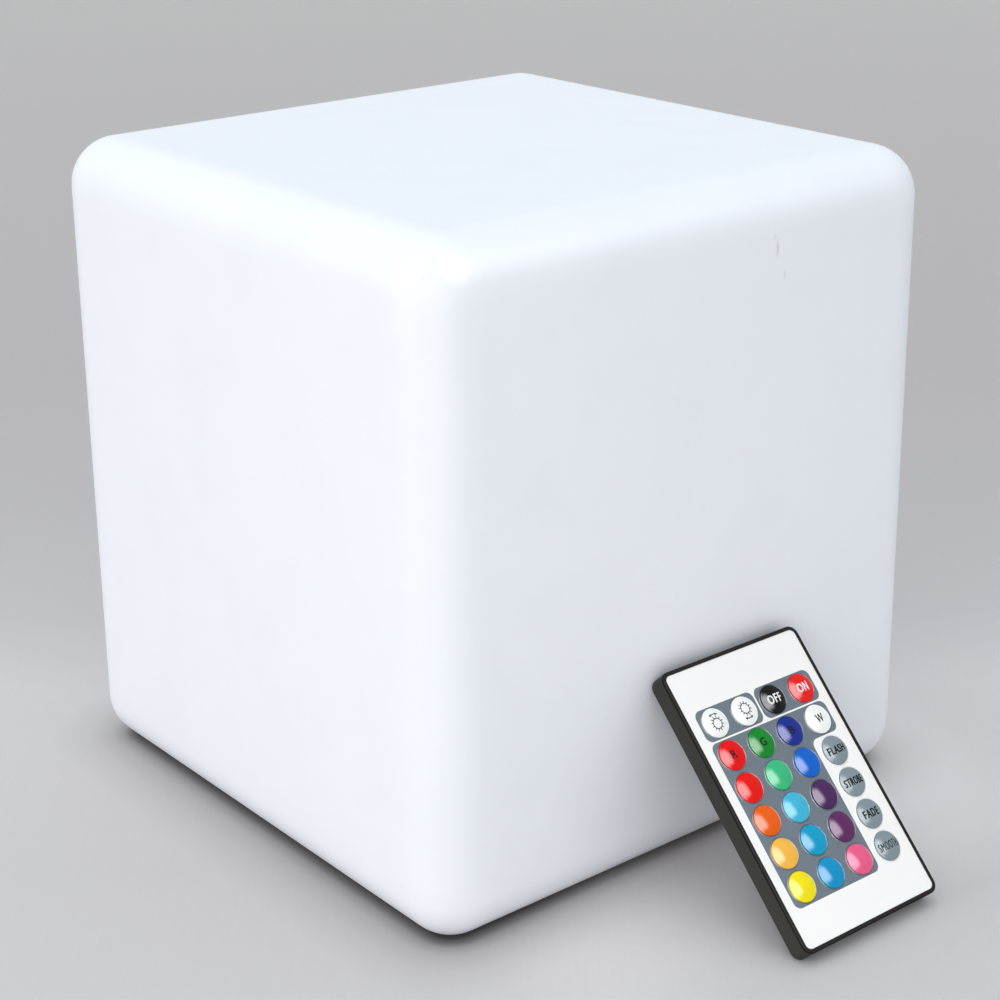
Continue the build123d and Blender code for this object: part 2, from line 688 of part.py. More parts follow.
# ================================================================ remote
def make_remote_front():
    """The front of the case: a plate with the key holes inside a raised rim."""
    clamp_pitch = CLAMP_ROW_STEP * KEY_PITCH_Y
    clamp_grid = GridLocations(KEY_PITCH_X, clamp_pitch, KEY_COLUMNS - 1, CLAMP_POST_ROWS).locations
    clamp_points = [
        (KEY_GRID_X + place.position.X, KEY_GRID_Y + place.position.Y) for place in clamp_grid
    ]
    with BuildPart() as front:
        with BuildSketch():
            RectangleRounded(REMOTE_WIDTH, REMOTE_LENGTH, REMOTE_CORNER)
        extrude(amount=-FRONT_HEIGHT)
        fillet(front.edges().group_by(Axis.Z)[-1], RIM_EDGE)
        with BuildSketch():
            RectangleRounded(film_width, film_length, film_corner)
        extrude(amount=film_bottom, mode=Mode.SUBTRACT)
        with BuildSketch(Plane.XY.offset(-FRONT_HEIGHT)):
            RectangleRounded(inner_width, inner_length, inner_corner)
        extrude(amount=FRONT_HEIGHT + plate_bottom, mode=Mode.SUBTRACT)
        with BuildSketch(Plane.XY.offset(film_bottom)):
            with Locations(*key_grid):
                Circle(key_hole_radius)
        extrude(amount=-FRONT_PLATE, mode=Mode.SUBTRACT)
        with BuildSketch(Plane.XY.offset(plate_bottom)):
            with Locations(*clamp_points):
                Circle(CLAMP_POST_RADIUS)
        extrude(amount=remote_board_top - plate_bottom)
    write(front.part, "remote_case_front", remote_plane)

    with BuildPart() as overlay:
        with BuildSketch(Plane.XY.offset(film_bottom)):
            RectangleRounded(film_width, film_length, film_corner)
            with Locations(*key_grid):
                Circle(key_hole_radius, mode=Mode.SUBTRACT)
        extrude(amount=FILM_THICKNESS)
    write(overlay.part, "remote_overlay", remote_plane)


def make_remote_back():
    """The back of the case: a shallow tray, open where the battery drawer slides in."""
    emitter_plane = Plane(
        origin=(0, REMOTE_LENGTH / 2, -EMITTER_DEPTH), x_dir=(1, 0, 0), z_dir=(0, 1, 0)
    )
    with BuildPart() as back:
        with BuildSketch(Plane.XY.offset(remote_back)):
            RectangleRounded(REMOTE_WIDTH, REMOTE_LENGTH, REMOTE_CORNER)
        extrude(amount=REMOTE_THICKNESS - FRONT_HEIGHT)
        fillet(back.edges().group_by(Axis.Z)[0], REMOTE_BACK_EDGE)
        with BuildSketch(Plane.XY.offset(remote_floor_top)):
            RectangleRounded(inner_width, inner_length, inner_corner)
        extrude(amount=-FRONT_HEIGHT - remote_floor_top, mode=Mode.SUBTRACT)
        with BuildSketch(Plane.XY.offset(remote_floor_top)):
            with Locations(*corner_points(inner_width - LEDGE_SIZE, inner_length - LEDGE_SIZE)):
                Rectangle(LEDGE_SIZE, LEDGE_SIZE)
        extrude(amount=remote_board_bottom - remote_floor_top)
        with BuildSketch(Plane.XY.offset(remote_back)):
            with Locations((TRAY_X, remote_foot)):
                Rectangle(TRAY_WIDTH, 2 * (TRAY_LENGTH + TRAY_CLEARANCE))
        extrude(amount=tray_slot_top - remote_back, mode=Mode.SUBTRACT)
        with BuildSketch(emitter_plane):
            Circle(EMITTER_RADIUS + EMITTER_CLEARANCE)
        extrude(amount=-REMOTE_WALL, mode=Mode.SUBTRACT)
    write(back.part, "remote_case_back", remote_plane)

    with BuildPart() as emitter:
        with BuildSketch(emitter_plane.offset(EMITTER_PROUD - EMITTER_RADIUS)):
            Circle(EMITTER_RADIUS)
        extrude(amount=-EMITTER_LENGTH)
        with Locations((0, REMOTE_LENGTH / 2 + EMITTER_PROUD - EMITTER_RADIUS, -EMITTER_DEPTH)):
            Sphere(EMITTER_RADIUS)
    write(emitter.part, "ir_emitter", remote_plane)


def make_remote_inside():
    """The key board with its snap domes, chip and battery contacts."""
    notch_width = 2 * (EMITTER_RADIUS + REMOTE_BOARD_CLEARANCE)
    notch_depth = EMITTER_LENGTH + EMITTER_RADIUS + REMOTE_BOARD_CLEARANCE
    with BuildPart() as board:
        with BuildSketch(Plane.XY.offset(remote_board_bottom)):
            RectangleRounded(board_width, board_length, inner_corner)
            with Locations((0, REMOTE_LENGTH / 2)):
                Rectangle(notch_width, 2 * notch_depth, mode=Mode.SUBTRACT)
        extrude(amount=REMOTE_BOARD_THICKNESS)
    write(board.part, "remote_board", remote_plane)

    with BuildPart() as snap_domes:
        with BuildSketch(Plane.XY.offset(remote_board_top)):
            with Locations(*key_grid):
                Circle(SNAP_DOME_RADIUS)
        extrude(amount=SNAP_DOME_HEIGHT, taper=SNAP_DOME_TAPER)
    write(snap_domes.part, "snap_domes", remote_plane)

    with BuildPart() as chip:
        with BuildSketch(Plane.XY.offset(remote_board_bottom)):
            with Locations((0, CHIP_Y)):
                Rectangle(CHIP_LENGTH, CHIP_WIDTH)
        extrude(amount=-CHIP_HEIGHT)
    write(chip.part, "remote_chip", remote_plane)

    with BuildPart() as contacts:
        with BuildSketch(Plane.XY.offset(remote_board_bottom)):
            with Locations((TRAY_X, coin_y)):
                with GridLocations(CONTACT_SPACING, 0, 2, 1):
                    Rectangle(CONTACT_WIDTH, CONTACT_LENGTH)
        extrude(amount=-CONTACT_THICKNESS)
    write(contacts.part, "cell_contacts", remote_plane)


def make_battery_drawer():
    """The drawer in the foot of the remote, with its coin cell."""
    tray_width = TRAY_WIDTH - 2 * TRAY_CLEARANCE
    with BuildPart() as tray:
        with BuildSketch(Plane.XY.offset(remote_back)):
            with Locations((TRAY_X, remote_foot + TRAY_LENGTH / 2)):
                Rectangle(tray_width, TRAY_LENGTH)
        extrude(amount=TRAY_WALL_HEIGHT)
        foot_edge = tray.edges().group_by(Axis.Z)[0].sort_by(Axis.Y)[0]
        fillet(foot_edge, REMOTE_BACK_EDGE)
        with BuildSketch(Plane.XY.offset(coin_bottom)):
            with Locations((TRAY_X, coin_y)):
                Circle(COIN_RADIUS + COIN_CLEARANCE)
        extrude(amount=TRAY_WALL_HEIGHT - TRAY_FLOOR, mode=Mode.SUBTRACT)
        notch_x = TRAY_X + TRAY_WIDTH / 2 - TRAY_NOTCH_INSET - TRAY_NOTCH_WIDTH / 2
        with BuildSketch(Plane.XY.offset(remote_back + TRAY_WALL_HEIGHT)):
            with Locations((notch_x, remote_foot)):
                Rectangle(TRAY_NOTCH_WIDTH, 2 * TRAY_NOTCH_DEPTH)
        extrude(amount=-TRAY_NOTCH_DEPTH, mode=Mode.SUBTRACT)
    write(tray.part, "battery_tray", remote_plane)

    with BuildPart() as coin_cell:
        with BuildSketch(Plane.XY.offset(coin_bottom)):
            with Locations((TRAY_X, coin_y)):
                Circle(COIN_RADIUS)
        extrude(amount=COIN_THICKNESS)
    write(coin_cell.part, "coin_cell", remote_plane)


def make_keys():
    """The round domed keys, each a cap with a flange and a plunger under it."""
    dome_edge = film_top + KEY_EDGE
    ball = (KEY_RADIUS**2 + KEY_DOME_RISE**2) / (2 * KEY_DOME_RISE)
    ball_z = dome_edge + KEY_DOME_RISE - ball
    sweep_angle = degrees(asin(KEY_RADIUS / ball))
    with BuildPart() as key:
        with BuildSketch(Plane.XZ):
            with BuildLine():
                CenterArc((0, ball_z), ball, 90 - sweep_angle, sweep_angle)
                Polyline(
                    (KEY_RADIUS, dome_edge),
                    (KEY_RADIUS, key_flange_top),
                    (KEY_RADIUS + KEY_FLANGE, key_flange_top),
                    (KEY_RADIUS + KEY_FLANGE, key_flange_bottom),
                    (KEY_PLUNGER_RADIUS, key_flange_bottom),
                    (KEY_PLUNGER_RADIUS, key_plunger_end),
                    (0, key_plunger_end),
                    (0, dome_edge + KEY_DOME_RISE),
                )
            make_face()
        revolve(axis=Axis.Z)
    names = [name for row in KEY_NAMES for name in row]
    for name, (x, y) in zip(names, key_grid):
        write(key.part.moved(Pos(x, y)), f"key_{name}", remote_plane)


os.makedirs("parts", exist_ok=True)
make_shell()
make_base_cover()
make_module_housing()
make_lights()
make_battery()
make_controls()
make_remote_front()
make_remote_back()
make_remote_inside()
make_battery_drawer()
make_keys()
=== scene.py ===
"""LED cube light with its card remote: the camera, the light, the finishes and the finer pieces.

Every length is in metres.  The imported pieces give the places, and the shapes made here
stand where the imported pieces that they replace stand.
"""

import json
import logging
import math
from dataclasses import dataclass
from enum import Enum
from typing import Any, Mapping, Optional, Sequence, Union

import bmesh
import bpy
import numpy as np
from mathutils import Matrix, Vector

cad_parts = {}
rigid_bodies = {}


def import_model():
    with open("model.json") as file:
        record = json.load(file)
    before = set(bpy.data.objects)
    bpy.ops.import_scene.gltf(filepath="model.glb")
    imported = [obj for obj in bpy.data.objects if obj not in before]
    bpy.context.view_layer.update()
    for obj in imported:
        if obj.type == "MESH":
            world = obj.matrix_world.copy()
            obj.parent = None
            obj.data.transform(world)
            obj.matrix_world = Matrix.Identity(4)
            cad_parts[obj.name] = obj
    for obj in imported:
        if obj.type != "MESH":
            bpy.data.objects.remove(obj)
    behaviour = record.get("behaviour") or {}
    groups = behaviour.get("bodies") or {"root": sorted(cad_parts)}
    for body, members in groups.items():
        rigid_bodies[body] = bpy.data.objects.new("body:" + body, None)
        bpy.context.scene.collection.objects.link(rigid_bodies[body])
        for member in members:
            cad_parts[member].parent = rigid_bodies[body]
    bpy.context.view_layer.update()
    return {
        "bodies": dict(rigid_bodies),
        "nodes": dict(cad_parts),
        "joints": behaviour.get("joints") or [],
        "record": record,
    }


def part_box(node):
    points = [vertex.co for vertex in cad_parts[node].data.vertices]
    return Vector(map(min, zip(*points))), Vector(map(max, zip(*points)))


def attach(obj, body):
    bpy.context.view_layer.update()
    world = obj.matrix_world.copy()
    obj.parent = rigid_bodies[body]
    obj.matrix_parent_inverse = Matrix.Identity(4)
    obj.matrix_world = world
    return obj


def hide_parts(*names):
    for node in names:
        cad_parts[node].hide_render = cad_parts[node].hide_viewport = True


MM = 0.001
LOG = logging.getLogger("cube_light")

Colour = tuple[float, float, float]
Value = Union["Signal", float, Sequence[float]]


def screen(red: float, green: float, blue: float) -> Colour:
    """Turn a colour as a screen shows it into a linear one.

    Args:
        red: Red, from 0 to 255.
        green: Green, from 0 to 255.
        blue: Blue, from 0 to 255.

    Returns:
        The linear colour, each channel from 0 to 1.
    """
    shares = np.array([red, green, blue]) / 255
    bent = np.where(shares <= 0.04045, shares / 12.92, ((shares + 0.055) / 1.055) ** 2.4)
    return tuple(float(channel) for channel in bent)


# ------------------------------------------------------------------ node trees
class Signal:
    """One output socket of a node tree; arithmetic on it adds Math nodes."""

    def __init__(self, graph: "Graph", socket: bpy.types.NodeSocket) -> None:
        """Wrap a socket of a graph."""
        self.graph = graph
        self.socket = socket

    def __add__(self, other: Value) -> "Signal":
        """Add a value."""
        return self.graph.math("ADD", self, other)

    __radd__ = __add__

    def __sub__(self, other: Value) -> "Signal":
        """Take a value away."""
        return self.graph.math("SUBTRACT", self, other)

    def __rsub__(self, other: Value) -> "Signal":
        """Take this away from a value."""
        return self.graph.math("SUBTRACT", other, self)

    def __mul__(self, other: Value) -> "Signal":
        """Multiply by a value."""
        return self.graph.math("MULTIPLY", self, other)

    __rmul__ = __mul__

    def __truediv__(self, other: Value) -> "Signal":
        """Divide by a value."""
        return self.graph.math("DIVIDE", self, other)

    def __abs__(self) -> "Signal":
        """Drop the sign."""
        return self.graph.math("ABSOLUTE", self)

    def at_least(self, other: Value) -> "Signal":
        """Take the larger of this and a value."""
        return self.graph.math("MAXIMUM", self, other)

    def at_most(self, other: Value) -> "Signal":
        """Take the smaller of this and a value."""
        return self.graph.math("MINIMUM", self, other)


class Graph:
    """A node tree that is written as Python expressions."""

    def __init__(self, tree: bpy.types.NodeTree) -> None:
        """Start with an empty tree."""
        tree.nodes.clear()
        self.tree = tree

    def node(
        self,
        kind: str,
        settings: Optional[Mapping[str, Any]] = None,
        inputs: Optional[Mapping[Union[str, int], Value]] = None,
        output: Union[str, int] = 0,
    ) -> Signal:
        """Add a node.

        Args:
            kind: The node's type without its ShaderNode prefix.
            settings: Attributes to set, and under "stops" a colour ramp's places and colours.
            inputs: Values or signals by socket name or number.
            output: The output to return, by name or number.

        Returns:
            The chosen output.
        """
        made = self.tree.nodes.new("ShaderNode" + kind)
        for name, setting in (settings or {}).items():
            if name == "stops":
                self.set_stops(made.color_ramp, setting)
            else:
                setattr(made, name, setting)
        for key, value in (inputs or {}).items():
            self.feed(made.inputs[key], value)
        socket = made.outputs[output] if len(made.outputs) else None
        return Signal(self, socket)

    @staticmethod
    def set_stops(ramp: bpy.types.ColorRamp, stops: Sequence[tuple[float, Colour]]) -> None:
        """Give a ramp its stops.

        Args:
            ramp: The colour ramp.
            stops: Each stop's place, from 0 to 1, and its colour.
        """
        while len(ramp.elements) < len(stops):
            ramp.elements.new(1.0)
        for element, (place, colour) in zip(ramp.elements, stops):
            element.position = place
            element.color = (*colour, 1.0)

    def feed(self, socket: bpy.types.NodeSocket, value: Value) -> None:
        """Link a signal to a socket, or set the socket's own value.

        Args:
            socket: The socket to feed.
            value: The signal, number, colour or vector.
        """
        if isinstance(value, Signal):
            self.tree.links.new(value.socket, socket)
        elif socket.type == "RGBA":
            socket.default_value = (*value, 1.0)
        else:
            socket.default_value = value

    def math(self, operation: str, *values: Value) -> Signal:
        """Add a Math node with its values in order."""
        return self.node("Math", {"operation": operation}, dict(enumerate(values)))

    def span(self, value: Value, low: float, high: float, smooth: bool = True) -> Signal:
        """Map a value to 0 at low and 1 at high, held at both ends.

        Args:
            value: The value that varies.
            low: Where the result is 0.
            high: Where the result is 1; it may lie below low.
            smooth: Ease in and out instead of a straight ramp.

        Returns:
            The share from 0 to 1.
        """
        if low > high:
            return 1.0 - self.span(value, high, low, smooth)
        kind = "SMOOTHSTEP" if smooth else "LINEAR"
        settings = {"interpolation_type": kind, "clamp": True}
        return self.node("MapRange", settings, {"Value": value, "From Min": low, "From Max": high})

    def ramp(self, value: Value, stops: Sequence[tuple[float, Colour]], kind: str = "LINEAR") -> Signal:
        """Look a value up in a colour ramp whose stops stand at the value's own numbers.

        Args:
            value: The value that varies.
            stops: Each stop's number, in rising order, and its colour.
            kind: How the ramp blends between stops.

        Returns:
            The colour at the value.
        """
        first, last = stops[0][0], stops[-1][0]
        shares = [((place - first) / (last - first), colour) for place, colour in stops]
        made = self.node("ValToRGB", {"stops": shares}, {"Fac": self.span(value, first, last, smooth=False)})
        made.socket.node.color_ramp.interpolation = kind
        return made

    def tint(self, share: Value, first: Value, second: Value) -> Signal:
        """Mix two colours: first at share 0 and second at share 1."""
        return self.node("Mix", {"data_type": "RGBA"}, {0: share, 6: first, 7: second}, 2)

    def along(self, where: Signal, axis: Sequence[float]) -> Signal:
        """Measure a point along an axis, as the sum of products of their parts."""
        settings = {"operation": "DOT_PRODUCT"}
        return self.node("VectorMath", settings, {0: where, 1: tuple(axis)}, "Value")

    def noise(self, where: Signal, size: float, detail: float = 2.0) -> Signal:
        """Add smooth noise about 0.5 whose lumps are about size metres across."""
        return self.node("TexNoise", None, {"Vector": where, "Scale": 1 / size, "Detail": detail})


class Paint(Graph):
    """A material under construction, with one Principled shader at its end."""

    def __init__(self, name: str) -> None:
        """Start a material, whose patterns read Object coordinates.

        Args:
            name: The material's name.
        """
        self.material = bpy.data.materials.new(name)
        self.material.use_nodes = True
        super().__init__(self.material.node_tree)
        self.place = self.node("TexCoord", output="Object")
        shaded = self.node("BsdfPrincipled")
        self.shader = shaded.socket.node
        self.node("OutputMaterial", None, {"Surface": shaded})

    def bump(self, height: Signal, depth: float) -> Signal:
        """Turn a height from 0 to 1 into a normal, with depth metres between them."""
        return self.node("Bump", None, {"Height": height, "Distance": depth}, "Normal")

    def done(self, sockets: Mapping[str, Value]) -> bpy.types.Material:
        """Feed the shader's sockets.

        Args:
            sockets: Values or signals by socket name.

        Returns:
            The material.
        """
        for name, value in sockets.items():
            self.feed(self.shader.inputs[name], value)
        return self.material


# ------------------------------------------------------------------ finishes
@dataclass(frozen=True)
class Moulded:
    """Injection-moulded plastic or rubber: fine spark-eroded grain and faint mottling."""

    name: str
    colour: Colour
    roughness: float = 0.45
    grain: float = 0.35 * MM
    depth: float = 0.012 * MM
    mottle: float = 0.08
    mottle_size: float = 14 * MM
    handling: float = 0.12
    handling_size: float = 5 * MM

    def build(self) -> bpy.types.Material:
        """Make the material: a slow mottle in the colour, rubbed patches and a fine grain.

        Returns:
            The material.
        """
        paint = Paint(self.name)
        slow = paint.noise(paint.place, self.mottle_size, 3.0)
        rubbed = paint.noise(paint.place, self.handling_size, 4.0)
        fine = paint.noise(paint.place, self.grain, 2.0)
        dark = tuple(channel * (1 - self.mottle) for channel in self.colour)
        light = tuple(min(1.0, channel * (1 + self.mottle)) for channel in self.colour)
        return paint.done({
            "Base Color": paint.tint(paint.span(slow, 0.3, 0.7), dark, light),
            "Roughness": self.roughness + (rubbed - 0.5) * self.handling,
            "Normal": paint.bump(fine, self.depth),
        })


@dataclass(frozen=True)
class Ink:
    """Matt screen-printed ink, slightly worn."""

    name: str
    colour: Colour
    speckle: float = 0.6 * MM
    fading: float = 0.01

    def build(self) -> bpy.types.Material:
        """Make the material: an almost even colour with a dull, speckled face.

        Returns:
            The material.
        """
        paint = Paint(self.name)
        worn = paint.noise(paint.place, self.speckle, 3.0)
        light = tuple(channel + self.fading for channel in self.colour)
        return paint.done({
            "Base Color": paint.tint(paint.span(worn, 0.55, 0.8), self.colour, light),
            "Roughness": 0.6 + (worn - 0.5) * 0.2,
            "Specular IOR Level": 0.1,
        })


@dataclass(frozen=True)
class ShellPlastic:
    """The cube's translucent polyethylene, moulded hot and slightly uneven."""

    name: str = "translucent_shell"
    colour: Colour = screen(244, 245, 251)
    cloudy: Colour = screen(242, 243, 249)
    cloud: float = 30 * MM
    speck: float = 7 * MM
    roughness: float = 0.42
    ripple: float = 55 * MM
    ripple_depth: float = 0.03 * MM
    skin: float = 1.6 * MM
    skin_depth: float = 0.006 * MM
    glow: float = 0.25
    glow_depth: float = 2 * MM
    scuff_colour: Colour = screen(214, 212, 214)
    scuff_strength: float = 0.8
    scuff_grain: float = 1.2 * MM
    scuff_reach: tuple[float, float] = (10 * MM, 1 * MM)
    scuff_width: float = 0.8 * MM
    scuffs: tuple[tuple[float, float, float, float], ...] = (
        (27.8 * MM, 180.2 * MM, 3.2 * MM, 1.0),
        (26.7 * MM, 183.6 * MM, 1.1 * MM, 0.5),
        (31.0 * MM, 171.8 * MM, 1.8 * MM, 0.6),
    )

    def build(self) -> bpy.types.Material:
        """Make the material: cloudy patches, short scuffs, slow ripples and a fine skin.

        Returns:
            The material.
        """
        paint = Paint(self.name)
        clouds = paint.noise(paint.place, self.cloud, 4.0)
        specks = paint.noise(paint.place, self.speck, 2.0)
        colour = paint.tint(paint.span(clouds, 0.42, 0.72), self.colour, self.cloudy)
        colour = paint.tint(paint.span(specks, 0.68, 0.8) * 0.5, colour, self.cloudy)
        colour = paint.tint(self.scuffed(paint) * self.scuff_strength, colour, self.scuff_colour)
        ripples = paint.noise(paint.place, self.ripple, 1.0)
        skin = paint.noise(paint.place, self.skin, 3.0)
        heights = ripples + skin * (self.skin_depth / self.ripple_depth)
        return paint.done({
            "Base Color": colour,
            "Roughness": self.roughness + (clouds - 0.5) * 0.1,
            "Normal": paint.bump(heights, self.ripple_depth),
            "Subsurface Weight": self.glow,
            "Subsurface Radius": (1.0, 1.0, 1.0),
            "Subsurface Scale": self.glow_depth,
        })

    def scuffed(self, paint: Paint) -> Signal:
        """Mark short upright scuffs high on the front face, broken up by noise.

        Each has its place across the face, its height, its half length and its strength.

        Args:
            paint: The shell's material.

        Returns:
            1 where the shell is scuffed most and 0 where it is clean.
        """
        low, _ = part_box("cube_shell")
        across = paint.along(paint.place, (1, 0, 0))
        upright = paint.along(paint.place, (0, 0, 1))
        deep = paint.along(paint.place, (0, 1, 0)) - low.y
        marks = []
        for x, z, length, strength in self.scuffs:
            line = paint.span(abs(across - x), self.scuff_width, 0.0)
            marks.append(line * paint.span(abs(upright - z), length, 0.4 * length) * strength)
        ragged = paint.span(paint.noise(paint.place, self.scuff_grain, 2.0), 0.2, 0.5)
        return sum(marks[1:], marks[0]) * ragged * paint.span(deep, *self.scuff_reach)


@dataclass(frozen=True)
class Metal:
    """Plated or rolled metal with fine scratches along one axis."""

    name: str
    colour: Colour
    roughness: float = 0.3
    scratch: tuple[float, float, float] = (3 * MM, 0.15 * MM, 0.15 * MM)
    scratch_depth: float = 0.01 * MM
    stain: float = 3 * MM

    def build(self) -> bpy.types.Material:
        """Make the material: noise drawn out along one axis roughens and scratches it.

        Returns:
            The material.
        """
        paint = Paint(self.name)
        scale = tuple(1 / length for length in self.scratch)
        drawn = paint.node("Mapping", None, {"Vector": paint.place, "Scale": scale})
        lines = paint.node("TexNoise", None, {"Vector": drawn, "Scale": 1.0, "Detail": 3.0})
        stain = paint.noise(paint.place, self.stain, 3.0)
        dull = tuple(channel * 0.8 for channel in self.colour)
        return paint.done({
            "Base Color": paint.tint(paint.span(stain, 0.4, 0.75), self.colour, dull),
            "Metallic": 1.0,
            "Roughness": self.roughness + (lines - 0.5) * 0.25,
            "Normal": paint.bump(lines, self.scratch_depth),
        })


@dataclass(frozen=True)
class BoardLacquer:
    """A circuit board: lacquer over copper tracks, with tinned pads."""

    name: str = "circuit_board"
    lacquer: Colour = (0.012, 0.13, 0.045)
    over_copper: Colour = (0.03, 0.24, 0.08)
    tin: Colour = (0.62, 0.62, 0.6)
    pitch: float = 2.54 * MM
    bend: float = 9 * MM
    bend_strength: float = 14.0
    pad_patch: float = 6 * MM
    pad_edge: tuple[float, float] = (0.62 * MM, 0.5 * MM)
    relief: float = 0.03 * MM

    def build(self) -> bpy.types.Material:
        """Make the material: bent stripes are the tracks and dots on a square grid the pads.

        Returns:
            The material.
        """
        paint = Paint(self.name)
        x = paint.along(paint.place, (1, 0, 0))
        y = paint.along(paint.place, (0, 1, 0))
        bends = paint.noise(paint.place, self.bend, 0.0) * self.bend_strength
        stripe = paint.math("SINE", (x + y) * (math.tau / self.pitch) + bends)
        tracks = paint.span(stripe, 0.25, 0.45)
        off_x = paint.math("PINGPONG", x, self.pitch)
        off_y = paint.math("PINGPONG", y, self.pitch)
        reach = paint.math("SQRT", off_x * off_x + off_y * off_y)
        sparse = paint.span(paint.noise(paint.place, self.pad_patch, 0.0), 0.52, 0.56)
        pads = paint.span(reach, *self.pad_edge) * sparse
        colour = paint.tint(tracks, self.lacquer, self.over_copper)
        return paint.done({
            "Base Color": paint.tint(pads, colour, self.tin),
            "Metallic": pads * 0.9,
            "Roughness": 0.32 + tracks * 0.08,
            "Normal": paint.bump(tracks.at_most(1.0 - pads), self.relief),
        })


@dataclass(frozen=True)
class Clear:
    """Clear or frosted moulded plastic."""

    name: str
    colour: Colour
    roughness: float
    transmission: float = 0.85
    bending: float = 1.49
    dust: float = 1.5 * MM
    wave: float = 4 * MM
    wave_depth: float = 0.02 * MM

    def build(self) -> bpy.types.Material:
        """Make the material: transmitting plastic with a slightly uneven, faintly dusty face.

        Returns:
            The material.
        """
        paint = Paint(self.name)
        dust = paint.noise(paint.place, self.dust, 4.0)
        dull = tuple(channel * 0.93 for channel in self.colour)
        return paint.done({
            "Base Color": paint.tint(paint.span(dust, 0.55, 0.8), self.colour, dull),
            "Roughness": self.roughness + paint.span(dust, 0.5, 0.8) * 0.1,
            "Normal": paint.bump(paint.noise(paint.place, self.wave, 1.0), self.wave_depth),
            "Transmission Weight": self.transmission,
            "IOR": self.bending,
        })


@dataclass(frozen=True)
class LampPackage:
    """A lamp chip's body: a white frame round a square of yellow or clear gel."""

    name: str = "led_package"
    frame_colour: Colour = (0.86, 0.86, 0.84)
    gel: Colour = (0.82, 0.62, 0.12)
    cell: float = 2.4 * MM
    gel_edge: tuple[float, float] = (0.42, 0.36)
    gel_sunk: float = 0.05 * MM

    def build(self) -> bpy.types.Material:
        """Make the material: cells of gel show as rounded spots in the white frame.

        Returns:
            The material.
        """
        paint = Paint(self.name)
        cells = paint.node("TexVoronoi", None, {"Vector": paint.place, "Scale": 1 / self.cell})
        gel = paint.span(cells, *self.gel_edge)
        return paint.done({
            "Base Color": paint.tint(gel, self.frame_colour, self.gel),
            "Roughness": 0.4 - gel * 0.25,
            "Normal": paint.bump(1.0 - gel, self.gel_sunk),
        })


@dataclass(frozen=True)
class ShrinkSleeve:
    """The printed shrink sleeve of the round cell, with a pale band at one end."""

    name: str = "cell_sleeve"
    sleeve: Colour = (0.03, 0.14, 0.42)
    band: Colour = (0.72, 0.74, 0.76)
    band_edge: tuple[float, float] = (22 * MM, 22.3 * MM)
    crease: float = 2.2 * MM
    crease_depth: float = 0.05 * MM

    def build(self) -> bpy.types.Material:
        """Make the material: a band across the cell, creased and glossy like shrunk film.

        Returns:
            The material.
        """
        paint = Paint(self.name)
        x = paint.along(paint.place, (1, 0, 0))
        creases = paint.noise(paint.place, self.crease, 3.0)
        return paint.done({
            "Base Color": paint.tint(paint.span(x, *self.band_edge), self.sleeve, self.band),
            "Roughness": 0.22 + (creases - 0.5) * 0.2,
            "Normal": paint.bump(creases, self.crease_depth),
        })


@dataclass(frozen=True)
class WireCover:
    """Wire insulation: the wires of a ribbon side by side, each in its own colour."""

    name: str = "wire_cover"
    colours: tuple[Colour, ...] = (
        (0.5, 0.012, 0.01), (0.01, 0.01, 0.012), (0.02, 0.3, 0.05), (0.01, 0.06, 0.5), (0.75, 0.75, 0.72),
    )
    pitch: float = 2.2 * MM

    def build(self) -> bpy.types.Material:
        """Make the material: the place across the ribbon picks one of the colours.

        Returns:
            The material.
        """
        paint = Paint(self.name)
        count = len(self.colours)
        share = paint.along(paint.place, (1, 0, 0)) / (self.pitch * count) + 0.5
        wheel = paint.math("WRAP", share, 1.0, 0.0) * float(count)
        stops = [*enumerate(self.colours), (count, self.colours[-1])]
        colour = paint.ramp(wheel, stops, "CONSTANT")
        return paint.done({
            "Base Color": colour,
            "Roughness": 0.35 + paint.noise(paint.place, 1 * MM) * 0.1,
        })


